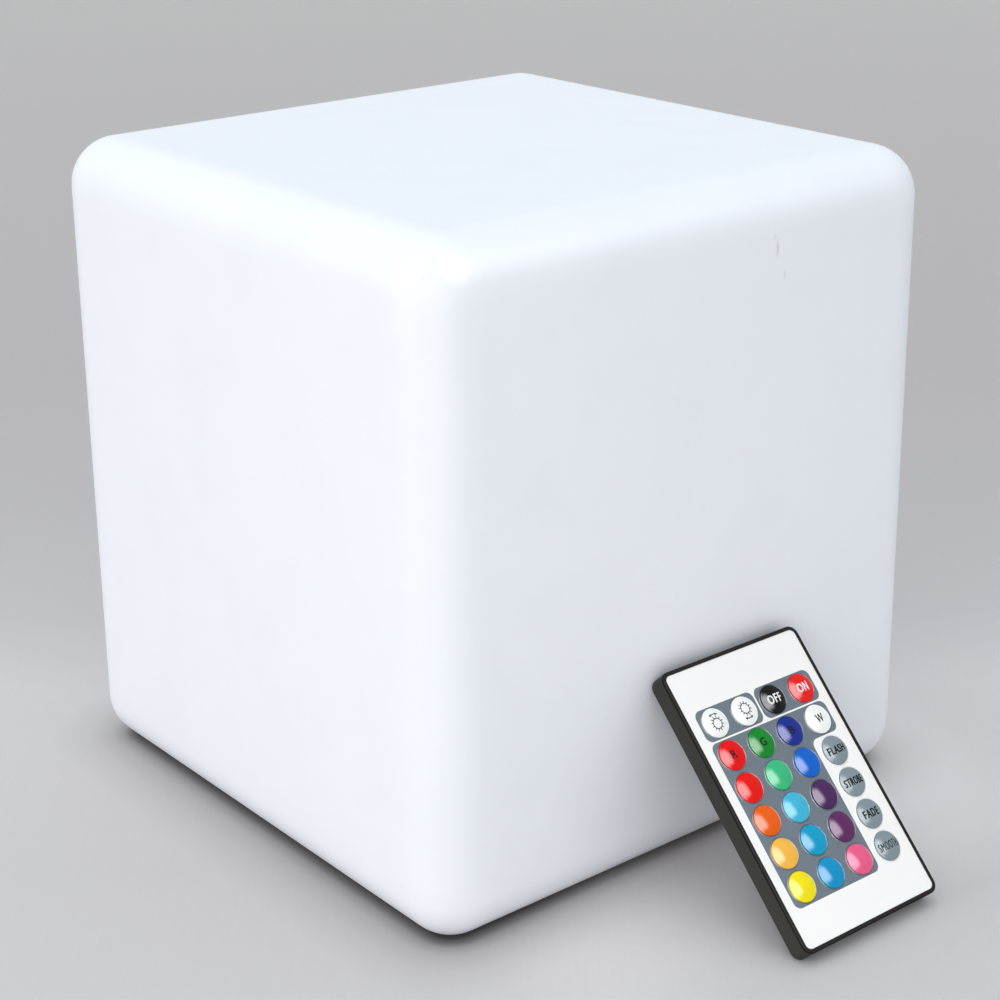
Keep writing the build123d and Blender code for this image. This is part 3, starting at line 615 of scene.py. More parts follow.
# ------------------------------------------------------------------ surfaces
class Skin:
    """A mesh under construction: grids of points that are welded into one surface."""

    def __init__(self) -> None:
        """Start with no points."""
        self.points: list[np.ndarray] = []
        self.faces: list[list[int]] = []
        self.slots: list[int] = []
        self.count = 0

    def add(self, grid: np.ndarray, wraps: bool = False, slot: int = 0) -> None:
        """Add a grid of points as quads.

        Args:
            grid: Points in rows and columns, with three numbers each.
            wraps: Join the last column to the first.
            slot: The number of the finish that these faces take.
        """
        rows, columns = grid.shape[:2]
        index = np.arange(rows * columns).reshape(rows, columns) + self.count
        right = np.roll(index, -1, axis=1)
        if not wraps:
            index, right = index[:, :-1], right[:, :-1]
        quads = np.stack([index[:-1], right[:-1], right[1:], index[1:]], axis=-1).reshape(-1, 4)
        self.points.append(grid.reshape(-1, 3))
        self.faces += quads.tolist()
        self.slots += [slot] * len(quads)
        self.count += rows * columns

    def add_faces(self, points: np.ndarray, faces: np.ndarray, slot: int = 0) -> None:
        """Add points with their own faces.

        Args:
            points: Points in rows of three numbers.
            faces: Rows of point numbers, counted from these points' first.
            slot: The number of the finish that these faces take.
        """
        self.points.append(points)
        self.faces += (faces + self.count).tolist()
        self.slots += [slot] * len(faces)
        self.count += len(points)

    def piece(
        self,
        name: str,
        finishes: Sequence[bpy.types.Material],
        crease: float = 35.0,
        weld: float = 1e-6,
    ) -> bpy.types.Object:
        """Weld what was added and turn its faces outwards.

        Args:
            name: The piece's name.
            finishes: Its materials, in the order of the slot numbers.
            crease: Edges that turn by more than this many degrees stay sharp.
            weld: Points nearer than this become one.

        Returns:
            The new piece, linked to the scene.
        """
        mesh = bpy.data.meshes.new(name)
        mesh.from_pydata(np.concatenate(self.points).tolist(), [], self.faces)
        mesh.polygons.foreach_set("material_index", self.slots)
        tidy = bmesh.new()
        tidy.from_mesh(mesh)
        bmesh.ops.remove_doubles(tidy, verts=tidy.verts, dist=weld)
        bmesh.ops.recalc_face_normals(tidy, faces=tidy.faces)
        tidy.to_mesh(mesh)
        tidy.free()
        mesh.shade_smooth()
        mesh.set_sharp_from_angle(angle=math.radians(crease))
        for finish in finishes:
            mesh.materials.append(finish)
        piece = bpy.data.objects.new(name, mesh)
        bpy.context.scene.collection.objects.link(piece)
        return piece


def turned(profile: np.ndarray, steps: int) -> np.ndarray:
    """Turn a profile about the local upright axis.

    A point at radius r and height z becomes a ring (r cos t, r sin t, z).

    Args:
        profile: Radius and height of each point.
        steps: Points round the axis.

    Returns:
        A grid with one row for each profile point.
    """
    turn = np.linspace(0, math.tau, steps, endpoint=False)
    radius, height = profile[:, :1], profile[:, 1:]
    return np.stack([radius * np.cos(turn), radius * np.sin(turn), height + 0 * turn], axis=-1)


def arc(centre: Sequence[float], radius: float, start: float, end: float, steps: int) -> np.ndarray:
    """Points on a circle in the profile's plane, from one angle in degrees to another."""
    turn = np.radians(np.linspace(start, end, steps))
    return np.stack([centre[0] + radius * np.cos(turn), centre[1] + radius * np.sin(turn)], axis=-1)


def numbers(items: Any, name: str, each: int, kind: type = float) -> np.ndarray:
    """Read one property of a mesh's points, faces or corners.

    Args:
        items: The mesh's points, faces or corners.
        name: The property.
        each: How many numbers each of them has.
        kind: Whether the numbers are float or int.

    Returns:
        The numbers, in a row for each item.
    """
    found = np.zeros(len(items) * each, kind)
    items.foreach_get(name, found)
    return found.reshape(-1, each)


# ------------------------------------------------------------------ picture
@dataclass(frozen=True)
class Viewpoint:
    """The camera, fitted to the cube's edges in the photograph."""

    azimuth: float = -39.022
    elevation: float = 19.38
    roll: float = -0.585
    focal_px: float = 2205.7
    picture_px: float = 1000.0
    axis_px: tuple[float, float] = (500.0, 440.0)
    target_px: tuple[float, float] = (489.38, 455.64)
    distance: float = 0.68924
    sensor: float = 36.0
    nearest: float = 10 * MM

    def axes(self) -> tuple[np.ndarray, np.ndarray, np.ndarray]:
        """Work out the camera's directions from its three angles.

        Returns:
            The directions to its right, up and backward.
        """
        around, above, roll = (math.radians(a) for a in (self.azimuth, self.elevation, self.roll))
        level = math.cos(above)
        back = np.array([math.sin(around) * level, -math.cos(around) * level, math.sin(above)])
        right = np.array([math.cos(around), math.sin(around), 0.0])
        up = np.cross(back, right)
        turned_right = math.cos(roll) * right + math.sin(roll) * up
        turned_up = math.cos(roll) * up - math.sin(roll) * right
        return turned_right, turned_up, back

    def place(self, target: np.ndarray) -> np.ndarray:
        """Work out where the camera stands when the target falls on its pixel.

        Args:
            target: The middle of the cube.

        Returns:
            The camera's place.
        """
        right, up, back = self.axes()
        aside = (self.target_px[0] - self.axis_px[0]) / self.focal_px * self.distance
        above = (self.axis_px[1] - self.target_px[1]) / self.focal_px * self.distance
        return target - aside * right - above * up + self.distance * back

    def build(self, target: np.ndarray) -> bpy.types.Object:
        """Make the camera and set it as the scene's.

        Args:
            target: The middle of the cube.

        Returns:
            The camera.
        """
        data = bpy.data.cameras.new("viewpoint")
        data.sensor_width = self.sensor
        data.lens = self.focal_px * self.sensor / self.picture_px
        middle = self.picture_px / 2
        data.shift_x = (middle - self.axis_px[0]) / self.picture_px
        data.shift_y = (self.axis_px[1] - middle) / self.picture_px
        data.clip_start = self.nearest
        camera = bpy.data.objects.new("viewpoint", data)
        bpy.context.scene.collection.objects.link(camera)
        turn = np.eye(4)
        turn[:3, :3] = np.stack(self.axes(), axis=1)
        turn[:3, 3] = self.place(target)
        camera.matrix_world = Matrix(turn.tolist())
        bpy.context.scene.camera = camera
        return camera


@dataclass(frozen=True)
class Softbox:
    """A square lamp that faces a target."""

    name: str
    place: tuple[float, float, float]
    side: float
    power: float

    def build(self, target: np.ndarray) -> None:
        """Hang the lamp in its place and turn it to the target.

        Args:
            target: The middle of the cube.
        """
        data = bpy.data.lights.new(self.name, "AREA")
        data.shape = "SQUARE"
        data.size = self.side
        data.energy = self.power
        lamp = bpy.data.objects.new(self.name, data)
        bpy.context.scene.collection.objects.link(lamp)
        back = np.array(self.place) - target
        back = back / np.linalg.norm(back)
        right = np.cross((0.0, 0.0, 1.0), back)
        right = right / np.linalg.norm(right)
        turn = np.eye(4)
        turn[:3, :3] = np.stack([right, np.cross(back, right), back], axis=1)
        turn[:3, 3] = self.place
        lamp.matrix_world = Matrix(turn.tolist())


@dataclass(frozen=True)
class Studio:
    """A pale floor that darkens away from the viewer, soft boxes and even light all round."""

    viewpoint: Viewpoint
    # The floor's colours by the distance ahead of the viewer, and its faint threads; the near stops lighten
    # towards the cube's distance as painted light that offsets the floor's shade there.
    tones: tuple[tuple[float, Colour], ...] = (
        (0.57, (0.57, 0.538, 0.543)), (0.63, (0.596, 0.562, 0.567)), (0.69, (0.62, 0.585, 0.59)),
        (0.755, (0.533, 0.5, 0.509)), (0.87, (0.48, 0.448, 0.455)),
        (1.05, (0.458, 0.424, 0.435)), (2.2, (0.5, 0.466, 0.457)),
    )
    floor_side: float = 12.0
    streak: tuple[float, float] = (1.1 * MM, 18 * MM)
    streak_depth: float = 0.035
    # The painted shade: a factor on the floor's colour by the distance from the cube's footprint.
    painted_shade: tuple[tuple[float, float], ...] = (
        (-9 * MM, 0.2), (-6 * MM, 0.42), (-4 * MM, 0.66), (0.0, 0.82), (8 * MM, 0.92), (20 * MM, 1.0),
    )
    # The cube's right-hand side, where painted light brightens the floor: where it starts and ends, how much
    # of the painted shade is taken away there, and the painted lift by the distance from the footprint.
    right_side: tuple[float, float] = (-0.02, 0.05)
    right_end: tuple[float, float] = (0.15, 0.045)
    painted_shade_cut_right: float = 0.2
    painted_right_lift: tuple[tuple[float, float], ...] = (
        (0.0, 0.25), (15 * MM, 0.26), (40 * MM, 0.16), (65 * MM, 0.0),
    )
    # The even light at the horizon and overhead, and the colour that is seen in its stead.
    level_light: Colour = (0.47, 0.47, 0.475)
    overhead_light: Colour = (1.216, 1.33, 1.378)
    shown_colour: Colour = screen(186, 186, 189)
    # The gloss's softbox: its direction, its half sizes and soft edge as tangents, its strength.
    gloss_way: tuple[float, float, float] = (0.17, -0.65, 0.737)
    gloss_half: tuple[float, float] = (0.28, 0.32)
    gloss_edge: float = 0.14
    gloss_light: float = 30.0
    lamps: tuple[Softbox, ...] = (
        Softbox("left_box", (-1.6, 0.5, 0.5), 1.0, 5.9),
        Softbox("front_box", (-0.47, -0.52, 0.12), 0.4, 0.98),
    )

    def build(self, target: np.ndarray) -> None:
        """Make the floor, the light all round and the lamps.

        Args:
            target: The middle of the cube.
        """
        self.build_floor(target)
        self.build_world()
        for lamp in self.lamps:
            lamp.build(target)

    def build_floor(self, target: np.ndarray) -> None:
        """Lay the floor; its colour follows the distance from the point under the viewer.

        It also carries a painted shadow close to the cube, weaker on the cube's right-hand side, where
        painted light lifts the floor as well.

        Args:
            target: The middle of the cube.
        """
        paint = Paint("studio_floor")
        _, _, back = self.viewpoint.axes()
        ahead = np.array([-back[0], -back[1], 0.0])
        ahead = ahead / np.linalg.norm(ahead)
        aside = np.cross(ahead, (0.0, 0.0, 1.0))
        start = float(self.viewpoint.place(target) @ ahead)
        forward, sideways = paint.along(paint.place, ahead), paint.along(paint.place, aside)
        colour = paint.ramp(forward - start, self.tones)
        fine, long = self.streak
        drawn = paint.node("CombineXYZ", None, {0: sideways / fine, 1: forward / long})
        threads = paint.node("TexNoise", None, {"Vector": drawn, "Scale": 1.0, "Detail": 2.0})
        reach = self.footprint_distance(paint)
        # Painted light: on the cube's right-hand side the painted shade is weakened and the floor's colour
        # lifted.
        painted_light_zone = paint.span(sideways, *self.right_side)
        painted_light_zone = painted_light_zone * paint.span(paint.along(paint.place, (1, 0, 0)), *self.right_end)
        # Painted shadow: the floor's colour is darkened close to the cube's footprint.
        painted_shade = self.grey_ramp(paint, reach, self.painted_shade)
        painted_shade = painted_shade + (1.0 - painted_shade) * painted_light_zone * self.painted_shade_cut_right
        painted_shade = painted_shade * (1.0 + self.grey_ramp(paint, reach, self.painted_right_lift) * painted_light_zone)
        # The floor's colour carries the painted shadow and the painted light, with faint threads.
        light = painted_shade * (1.0 + (threads - 0.5) * self.streak_depth)
        floor_colour_with_painted_shade = paint.node("VectorMath", {"operation": "SCALE"}, {0: colour, "Scale": light})
        material = paint.done({"Base Color": floor_colour_with_painted_shade, "Roughness": 0.9, "Specular IOR Level": 0.1})
        half = self.floor_side / 2
        skin = Skin()
        across, deep = np.meshgrid((-half, half), (-half, half))
        skin.add(np.stack([across, deep, 0 * deep], axis=-1))
        skin.piece("floor", [material])

    @staticmethod
    def grey_ramp(paint: Paint, value: Signal, stops: Sequence[tuple[float, float]]) -> Signal:
        """Look a value up between stops that give one number each."""
        return paint.ramp(value, [(place, (level,) * 3) for place, level in stops])

    @staticmethod
    def footprint_distance(paint: Paint) -> Signal:
        """Measure how far a point of the floor is from the cube's rounded footprint.

        Args:
            paint: The floor's material.

        Returns:
            The distance in metres, below 0 under the cube.
        """
        _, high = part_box("cube_shell")
        past = [abs(paint.along(paint.place, axis)) - (high.x - CubeShell.edge_radius)
                for axis in ((1, 0, 0), (0, 1, 0))]
        out_x, out_y = (value.at_least(0.0) for value in past)
        return paint.math("SQRT", out_x * out_x + out_y * out_y) - CubeShell.edge_radius

    def build_world(self) -> None:
        """Light everything from all round, most from above.

        The lens, gloss and glass see the far floor's colour instead, and gloss also sees a
        square softbox, whose light falls on nothing else.
        """
        world = bpy.data.worlds.new("studio")
        world.use_nodes = True
        bpy.context.scene.world = world
        graph = Graph(world.node_tree)
        way = graph.node("TexCoord", output="Generated")
        glossy = graph.node("LightPath", output="Is Glossy Ray")
        seen = graph.node("LightPath", output="Is Camera Ray").at_least(glossy)
        seen = seen.at_least(graph.node("LightPath", output="Is Transmission Ray"))
        upward = graph.along(way, (0, 0, 1)).at_least(0.0)
        colour = graph.tint(upward, self.level_light, self.overhead_light)
        even = graph.node("Background", None, {"Color": colour, "Strength": 1.0})
        strength = 1.0 + glossy * self.gloss_box(graph, way) * self.gloss_light
        shown = graph.node("Background", None, {"Color": self.shown_colour, "Strength": strength})
        mixed = graph.node("MixShader", None, {0: seen, 1: even, 2: shown})
        graph.node("OutputWorld", None, {"Surface": mixed})

    def gloss_box(self, graph: Graph, way: Signal) -> Signal:
        """Mark the directions in which the softbox of the gloss stands.

        A direction's parts across and up the box, divided by its part towards the box,
        are the tangents of its angles from the box's middle.

        Args:
            graph: The world's node tree.
            way: The direction that is looked up.

        Returns:
            1 inside the box and 0 outside it.
        """
        front = np.array(self.gloss_way) / np.linalg.norm(self.gloss_way)
        side = np.cross((0.0, 0.0, 1.0), front)
        side = side / np.linalg.norm(side)
        facing = graph.along(way, front)
        inside = graph.span(facing, 0.0, 0.1)
        for axis, half in zip((side, np.cross(front, side)), self.gloss_half):
            tangent = abs(graph.along(way, axis)) / facing.at_least(0.01)
            inside = inside * graph.span(tangent, half + self.gloss_edge, half - self.gloss_edge)
        return inside


# ------------------------------------------------------------------ cube
@dataclass(frozen=True)
class CubeShell:
    """The moulded cube: hollow, with rounded edges and a round seat in its underside."""

    edge_radius: float = 15 * MM
    wall: float = 3 * MM
    seat_radius: float = 64 * MM
    seat_depth: float = 5 * MM
    hole_radius: float = 50 * MM
    boss_circle: float = 57.5 * MM
    boss_count: int = 6
    boss_radius: float = 4.5 * MM
    boss_height: float = 8 * MM
    pilot_radius: float = 1.5 * MM
    pilot_end: float = 14.3 * MM
    side_steps: int = 24
    corner_steps: int = 12
    boss_steps: int = 24
    lid_rows: tuple[float, ...] = (0.985, 0.93, 0.8, 0.65, 0.5, 0.35, 0.2, 0.08, 0.0)
    approach_rows: tuple[float, ...] = (0.03, 0.35, 0.7)
    retreat_rows: tuple[float, ...] = (0.3, 0.65, 0.97)

    def rim(self, half: float) -> tuple[np.ndarray, np.ndarray, np.ndarray]:
        """Walk round a square: points on it, outward directions, and a circle to match.

        Args:
            half: Half the square's width.

        Returns:
            Points on the square, unit directions that turn at its corners, and unit
            directions from the middle, each with one row for each step round.
        """
        side = np.linspace(-1, 1, self.side_steps, endpoint=False)[1:] * half
        bend = np.radians(np.linspace(0, 90, self.corner_steps))
        points, ways = [], []
        for quarter in range(4):
            turn = quarter * math.pi / 2
            spin = np.array([[math.cos(turn), math.sin(turn)], [-math.sin(turn), math.cos(turn)]])
            flat = np.stack([np.full(len(side), half), side], axis=-1)
            corner = np.full((len(bend), 2), half)
            fan = np.stack([np.cos(bend), np.sin(bend)], axis=-1)
            straight = np.tile([1.0, 0.0], (len(side), 1))
            points.append(np.concatenate([flat, corner]) @ spin)
            ways.append(np.concatenate([straight, fan]) @ spin)
        square, way = np.concatenate(points), np.concatenate(ways)
        outer = square + way * self.edge_radius
        return square, way, outer / np.linalg.norm(outer, axis=1, keepdims=True)

    def half_shell(self, half: float, low: float, high: float, radius: float) -> list[np.ndarray]:
        """Rows of points over a rounded box, from its underside to the middle of its top.

        A row is the square drawn out by r cos(a) along its outward directions, at height
        r sin(a) past the edge's centre, so that the angle a runs round each rounded edge.

        Args:
            half: Half the box's width.
            low: The height of its underside.
            high: The height of its top.
            radius: The radius of its edges.

        Returns:
            One array of points for each row.
        """
        square, way, _ = self.rim(half - radius)
        rows = []
        for angle in np.radians(np.linspace(-90, 0, self.corner_steps)):
            flat = square + way * (radius * math.cos(angle))
            rows.append((flat, low + radius + radius * math.sin(angle)))
        for height in np.linspace(low + radius, high - radius, self.side_steps)[1:-1]:
            rows.append((square + way * radius, height))
        for angle in np.radians(np.linspace(0, 90, self.corner_steps)):
            flat = square + way * (radius * math.cos(angle))
            rows.append((flat, high - radius + radius * math.sin(angle)))
        for share in self.lid_rows:
            rows.append((square * share, high))
        return [np.column_stack([flat, np.full(len(flat), height)]) for flat, height in rows]

    def build(self, finish: bpy.types.Material) -> bpy.types.Object:
        """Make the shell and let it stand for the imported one.

        One closed sheet runs from the middle of the top down the outside, in over the
        seat and the hole's edge, and back up the inside to the middle of the ceiling.

        Args:
            finish: The shell's material.

        Returns:
            The shell.
        """
        low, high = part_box("cube_shell")
        half, top = high.x, high.z
        _, _, round_way = self.rim(half - self.edge_radius)
        outside = self.half_shell(half, low.z, top, self.edge_radius)
        inside = self.half_shell(half - self.wall, self.wall, top - self.wall, self.edge_radius - self.wall)
        pan_top = self.seat_depth + self.wall
        pan_radius = self.seat_radius + self.wall
        rings = [
            (self.seat_radius, 0.0), (self.seat_radius, self.seat_depth), (self.hole_radius, self.seat_depth),
            (self.hole_radius, pan_top), (pan_radius, pan_top), (pan_radius, self.wall),
        ]
        middle = [np.column_stack([round_way * r, np.full(len(round_way), z)]) for r, z in rings]
        approach = [self.between(outside[0], middle[0], share) for share in self.approach_rows]
        retreat = [self.between(middle[-1], inside[0], share) for share in self.retreat_rows]
        skin = Skin()
        skin.add(np.array(outside[::-1] + approach + middle + retreat + inside), wraps=True)
        for turn in np.radians(np.arange(self.boss_count) * 360 / self.boss_count):
            place = self.boss_circle * np.array([math.cos(turn), math.sin(turn), 0])
            skin.add(self.boss(pan_top) + place, wraps=True)
        piece = skin.piece("moulded_cube", [finish])
        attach(piece, "root")
        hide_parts("cube_shell")
        return piece

    @staticmethod
    def between(first: np.ndarray, second: np.ndarray, share: float) -> np.ndarray:
        """Points part of the way from one row to another."""
        return first * (1 - share) + second * share

    def boss(self, floor: float) -> np.ndarray:
        """A screw boss about its own axis: a post with a blind pilot hole up its middle.

        Args:
            floor: The height of the pan's upper face, on which the boss stands.

        Returns:
            A closed grid, turned from the boss's profile.
        """
        top = floor + self.boss_height
        sunk = floor - 0.5 * self.wall
        profile = [
            (self.pilot_radius, sunk), (self.boss_radius, sunk), (self.boss_radius, top), (0.0, top),
            (0.0, self.pilot_end), (self.pilot_radius, self.pilot_end), (self.pilot_radius, sunk),
        ]
        return turned(np.array(profile), self.boss_steps)


# ------------------------------------------------------------------ remote
@dataclass(frozen=True)
class RemoteFrame:
    """The remote's own directions: across, along and out of its face, from its middle."""

    origin: np.ndarray
    across: np.ndarray
    along: np.ndarray
    out: np.ndarray

    def lift(self, points: np.ndarray) -> np.ndarray:
        """Set local points down in the remote's leaning place."""
        return self.origin + points @ np.stack([self.across, self.along, self.out])


@dataclass(frozen=True)
class FilmPrint:
    """The printed film: white, with rounded grey panels behind the coloured keys."""

    frame: RemoteFrame
    name: str = "overlay_film"
    roughness: float = 0.34
    coat: float = 0.0
    white: Colour = screen(246, 242, 239)
    white_patch: Colour = screen(243, 240, 238)
    grey: Colour = screen(90, 101, 110)
    grey_patch: Colour = screen(97, 109, 118)
    patch: float = 12 * MM
    speckle: float = 0.5 * MM
    speckle_depth: float = 0.004 * MM
    soft: float = 0.04 * MM
    corner: float = 2.3 * MM
    left: float = -22.65 * MM
    right: float = 22.85 * MM
    bottom: float = -31.0 * MM
    row_top: float = 29.5 * MM
    row_bottom: float = 19.85 * MM
    split: float = 0.16 * MM
    split_gap: float = 0.62 * MM
    wide_top: float = 19.35 * MM
    wide_bottom: float = 9.6 * MM
    step_across: float = 11.2 * MM

    def panel(self, paint: Paint, x: Signal, y: Signal, box: Sequence[float]) -> Signal:
        """Distance to a rounded rectangle: below 0 inside and above 0 outside.

        With q the distance past the corner's centre in x and y, it is the length of q
        where both are positive, and otherwise the larger of the two, less the radius.

        Args:
            paint: The film's material.
            x: The place across the remote.
            y: The place along the remote.
            box: The rectangle's west, south, east and north sides.

        Returns:
            The distance in metres.
        """
        west, south, east, north = box
        past_x = abs(x - (west + east) / 2) - ((east - west) / 2 - self.corner)
        past_y = abs(y - (south + north) / 2) - ((north - south) / 2 - self.corner)
        out_x, out_y = past_x.at_least(0.0), past_y.at_least(0.0)
        reach = paint.math("SQRT", out_x * out_x + out_y * out_y)
        return reach + past_x.at_least(past_y).at_most(0.0) - self.corner

    def inner_corner(self, paint: Paint, x: Signal, y: Signal) -> Signal:
        """Distance to the fillet where the wide panel steps in to the narrow one.

        It is the larger of the distance to a square in the corner and the radius less the
        distance to the fillet's centre.

        Args:
            paint: The film's material.
            x: The place across the remote.
            y: The place along the remote.

        Returns:
            The distance in metres, below 0 inside the fillet.
        """
        r = self.corner
        off_x = x - (self.step_across + r)
        off_y = y - (self.wide_bottom - r)
        square = abs(off_x + r / 2).at_least(abs(off_y - r / 2)) - r / 2
        return square.at_least(r - paint.math("SQRT", off_x * off_x + off_y * off_y))

    def build(self) -> bpy.types.Material:
        """Make the material: grey inside the panels, white outside, under satin film.

        Returns:
            The material.
        """
        paint = Paint(self.name)
        origin = self.frame.origin
        x = paint.along(paint.place, self.frame.across) - float(origin @ self.frame.across)
        y = paint.along(paint.place, self.frame.along) - float(origin @ self.frame.along)
        boxes = (
            (self.left, self.row_bottom, self.split - self.split_gap / 2, self.row_top),
            (self.split + self.split_gap / 2, self.row_bottom, self.right, self.row_top),
            (self.left, self.wide_bottom, self.right, self.wide_top),
            (self.left, self.bottom, self.step_across, self.wide_top),
        )
        nearest = self.inner_corner(paint, x, y)
        for box in boxes:
            nearest = nearest.at_most(self.panel(paint, x, y, box))
        inked = paint.span(nearest, self.soft, -self.soft)
        speckle = paint.noise(paint.place, self.speckle, 2.0)
        slow = paint.noise(paint.place, self.patch, 2.0)
        grey = paint.tint(paint.span(slow, 0.35, 0.7) * 0.25, self.grey, self.grey_patch)
        white = paint.tint(paint.span(slow, 0.3, 0.7) * 0.3, self.white, self.white_patch)
        return paint.done({
            "Base Color": paint.tint(inked, white, grey),
            "Roughness": self.roughness + (speckle - 0.5) * 0.12,
            "Normal": paint.bump(speckle, self.speckle_depth),
            "Coat Weight": self.coat,
            "Coat Roughness": 0.05,
        })


@dataclass(frozen=True)
class CaseResin:
    """The remote's black case: darkest on the polished rim, with painted light greying its sides and a
    painted highlight low on its sides and back.
    """

    frame: RemoteFrame
    name: str = "remote_black"
    # rim is the case's own near-black; side is a grey of painted light; foot is the lighter painted
    # highlight.
    rim: Colour = screen(16, 14, 10)
    side: Colour = screen(60, 59, 56)
    foot: Colour = screen(96, 95, 92)
    rim_edge: tuple[float, float] = (0.45 * MM, 0.6 * MM)
    foot_highlight_edge: tuple[float, float] = (5.9 * MM, 6.3 * MM)
    rub_and_sheen_patch: float = 3 * MM
    grain: float = 0.25 * MM
    grain_depth: float = 0.01 * MM

    def build(self) -> bpy.types.Material:
        """Make the material: the colour follows the depth below the rim, grey with painted light on the sides
        and lighter with a painted highlight low down, under a fine grain.

        Returns:
            The material.
        """
        paint = Paint(self.name)
        depth = float(self.frame.origin @ self.frame.out) - paint.along(paint.place, self.frame.out)
        side = paint.span(depth, *self.rim_edge)
        worn = paint.noise(paint.place, self.rub_and_sheen_patch, 3.0)
        # Painted light: below the rim the sides take a greyer colour.
        colour = paint.tint(side, self.rim, self.side)
        # Painted highlight low on the sides and over the back, broken into patches by the noise that also
        # varies the roughness.
        foot = paint.span(depth, *self.foot_highlight_edge) * paint.span(worn, 0.1, 0.9)
        fine = paint.noise(paint.place, self.grain, 2.0)
        return paint.done({
            "Base Color": paint.tint(foot, colour, self.foot),
            "Roughness": 0.4 + side * 0.15 + (worn - 0.5) * 0.1,
            "Specular IOR Level": 0.12,
            "Normal": paint.bump(fine, self.grain_depth),
        })


class Legend(Enum):
    """What is printed on a key besides a word."""

    NONE = 0
    SUN_ARROW_ABOVE = 1
    SUN_ARROW_BELOW = -1


@dataclass(frozen=True)
class Key:
    """One key: its body's name, its colours and what is printed on it."""

    name: str
    colour: Colour
    word: str = ""
    ink: Colour = (0.004, 0.004, 0.005)
    letter_height: float = 2.5 * MM
    letter_width: float = 0.0
    bold: float = 0.018
    heavier: float = 0.05 * MM
    spread: float = 1.16
    legend: Legend = Legend.NONE
    shared_slot: str = ""

    @property
    def slot(self) -> str:
        """The slot that the key's finish takes: its own name's, unless it shares another's."""
        return self.shared_slot or self.name


def mode_key(
    name: str, word: str, width: float, bold: float = Key.bold, heavier: float = 0.085 * MM,
) -> Key:
    """Describe a grey key with a whole word on it.

    Args:
        name: The key's body.
        word: What is printed on it.
        width: The word's width.
        bold: How far the letters' outlines are pushed out before they are sized.
        heavier: How far the sides of the upright strokes are pushed out afterwards.

    Returns:
        The key.
    """
    grey = screen(134, 147, 153)
    return Key(name, grey, word, letter_height=2.4 * MM, letter_width=width, bold=bold, heavier=heavier,
               shared_slot="key_grey")


WHITE_KEY = screen(250, 249, 246)
WHITE_INK = (0.86, 0.86, 0.86)
KEYS: tuple[tuple[Key, ...], ...] = (
    (
        Key("key_brighter", WHITE_KEY, legend=Legend.SUN_ARROW_ABOVE, shared_slot="key_white"),
        Key("key_dimmer", WHITE_KEY, legend=Legend.SUN_ARROW_BELOW, shared_slot="key_white"),
        Key("key_off", screen(10, 10, 10), "OFF", WHITE_INK, 2.8 * MM, 5.1 * MM, shared_slot="key_black"),
        Key("key_on", screen(238, 26, 20), "ON", WHITE_INK, 2.8 * MM, 4.0 * MM, shared_slot="key_red"),
    ),
    (
        Key("key_red", screen(236, 0, 2), "R", letter_width=1.9 * MM),
        Key("key_green", screen(0, 138, 40), "G", letter_width=2.1 * MM),
        Key("key_blue", screen(18, 44, 142), "B", letter_width=1.8 * MM),
        Key("key_white", WHITE_KEY, "W", letter_width=2.6 * MM),
    ),
    (
        Key("key_scarlet", screen(240, 8, 0)),
        Key("key_mint", screen(56, 188, 128)),
        Key("key_royal_blue", screen(0, 100, 202)),
        mode_key("key_mode_flash", "FLASH", 6.4 * MM),
    ),
    (
        Key("key_orange", screen(242, 96, 0)),
        Key("key_sky_blue", screen(64, 184, 216)),
        Key("key_purple", screen(76, 38, 90)),
        mode_key("key_mode_strobe", "STROBE", 6.9 * MM),
    ),
    (
        Key("key_amber", screen(252, 188, 72)),
        Key("key_cyan", screen(0, 158, 198)),
        Key("key_plum", screen(98, 40, 94)),
        mode_key("key_mode_fade", "FADE", 5.7 * MM),
    ),
    (
        Key("key_yellow", screen(250, 228, 10)),
        Key("key_azure", screen(0, 146, 198)),
        Key("key_pink", screen(240, 94, 138)),
        mode_key("key_mode_smooth", "SMOOTH", 7.2 * MM, bold=0.0, heavier=0.05 * MM),
    ),
)


@dataclass(frozen=True)
class KeyResin:
    """A key's glossy coloured dome."""

    key: Key
    flow: float = 1.6 * MM
    flow_depth: float = 0.003 * MM
    lacquer_bending: float = 1.36

    def build(self) -> bpy.types.Material:
        """Make the material: clear lacquer over the colour, with faint flow marks.

        Returns:
            The material.
        """
        paint = Paint(self.key.name)
        flow = paint.noise(paint.place, self.flow, 3.0)
        dark = tuple(channel * 0.95 for channel in self.key.colour)
        return paint.done({
            "Base Color": paint.tint(paint.span(flow, 0.35, 0.7), self.key.colour, dark),
            "Roughness": 0.35 + (flow - 0.5) * 0.1,
            "Specular IOR Level": 0.0,
            "Normal": paint.bump(flow, self.flow_depth),
            "Coat Weight": 1.0,
            "Coat Roughness": 0.08,
            "Coat IOR": self.lacquer_bending,
        })


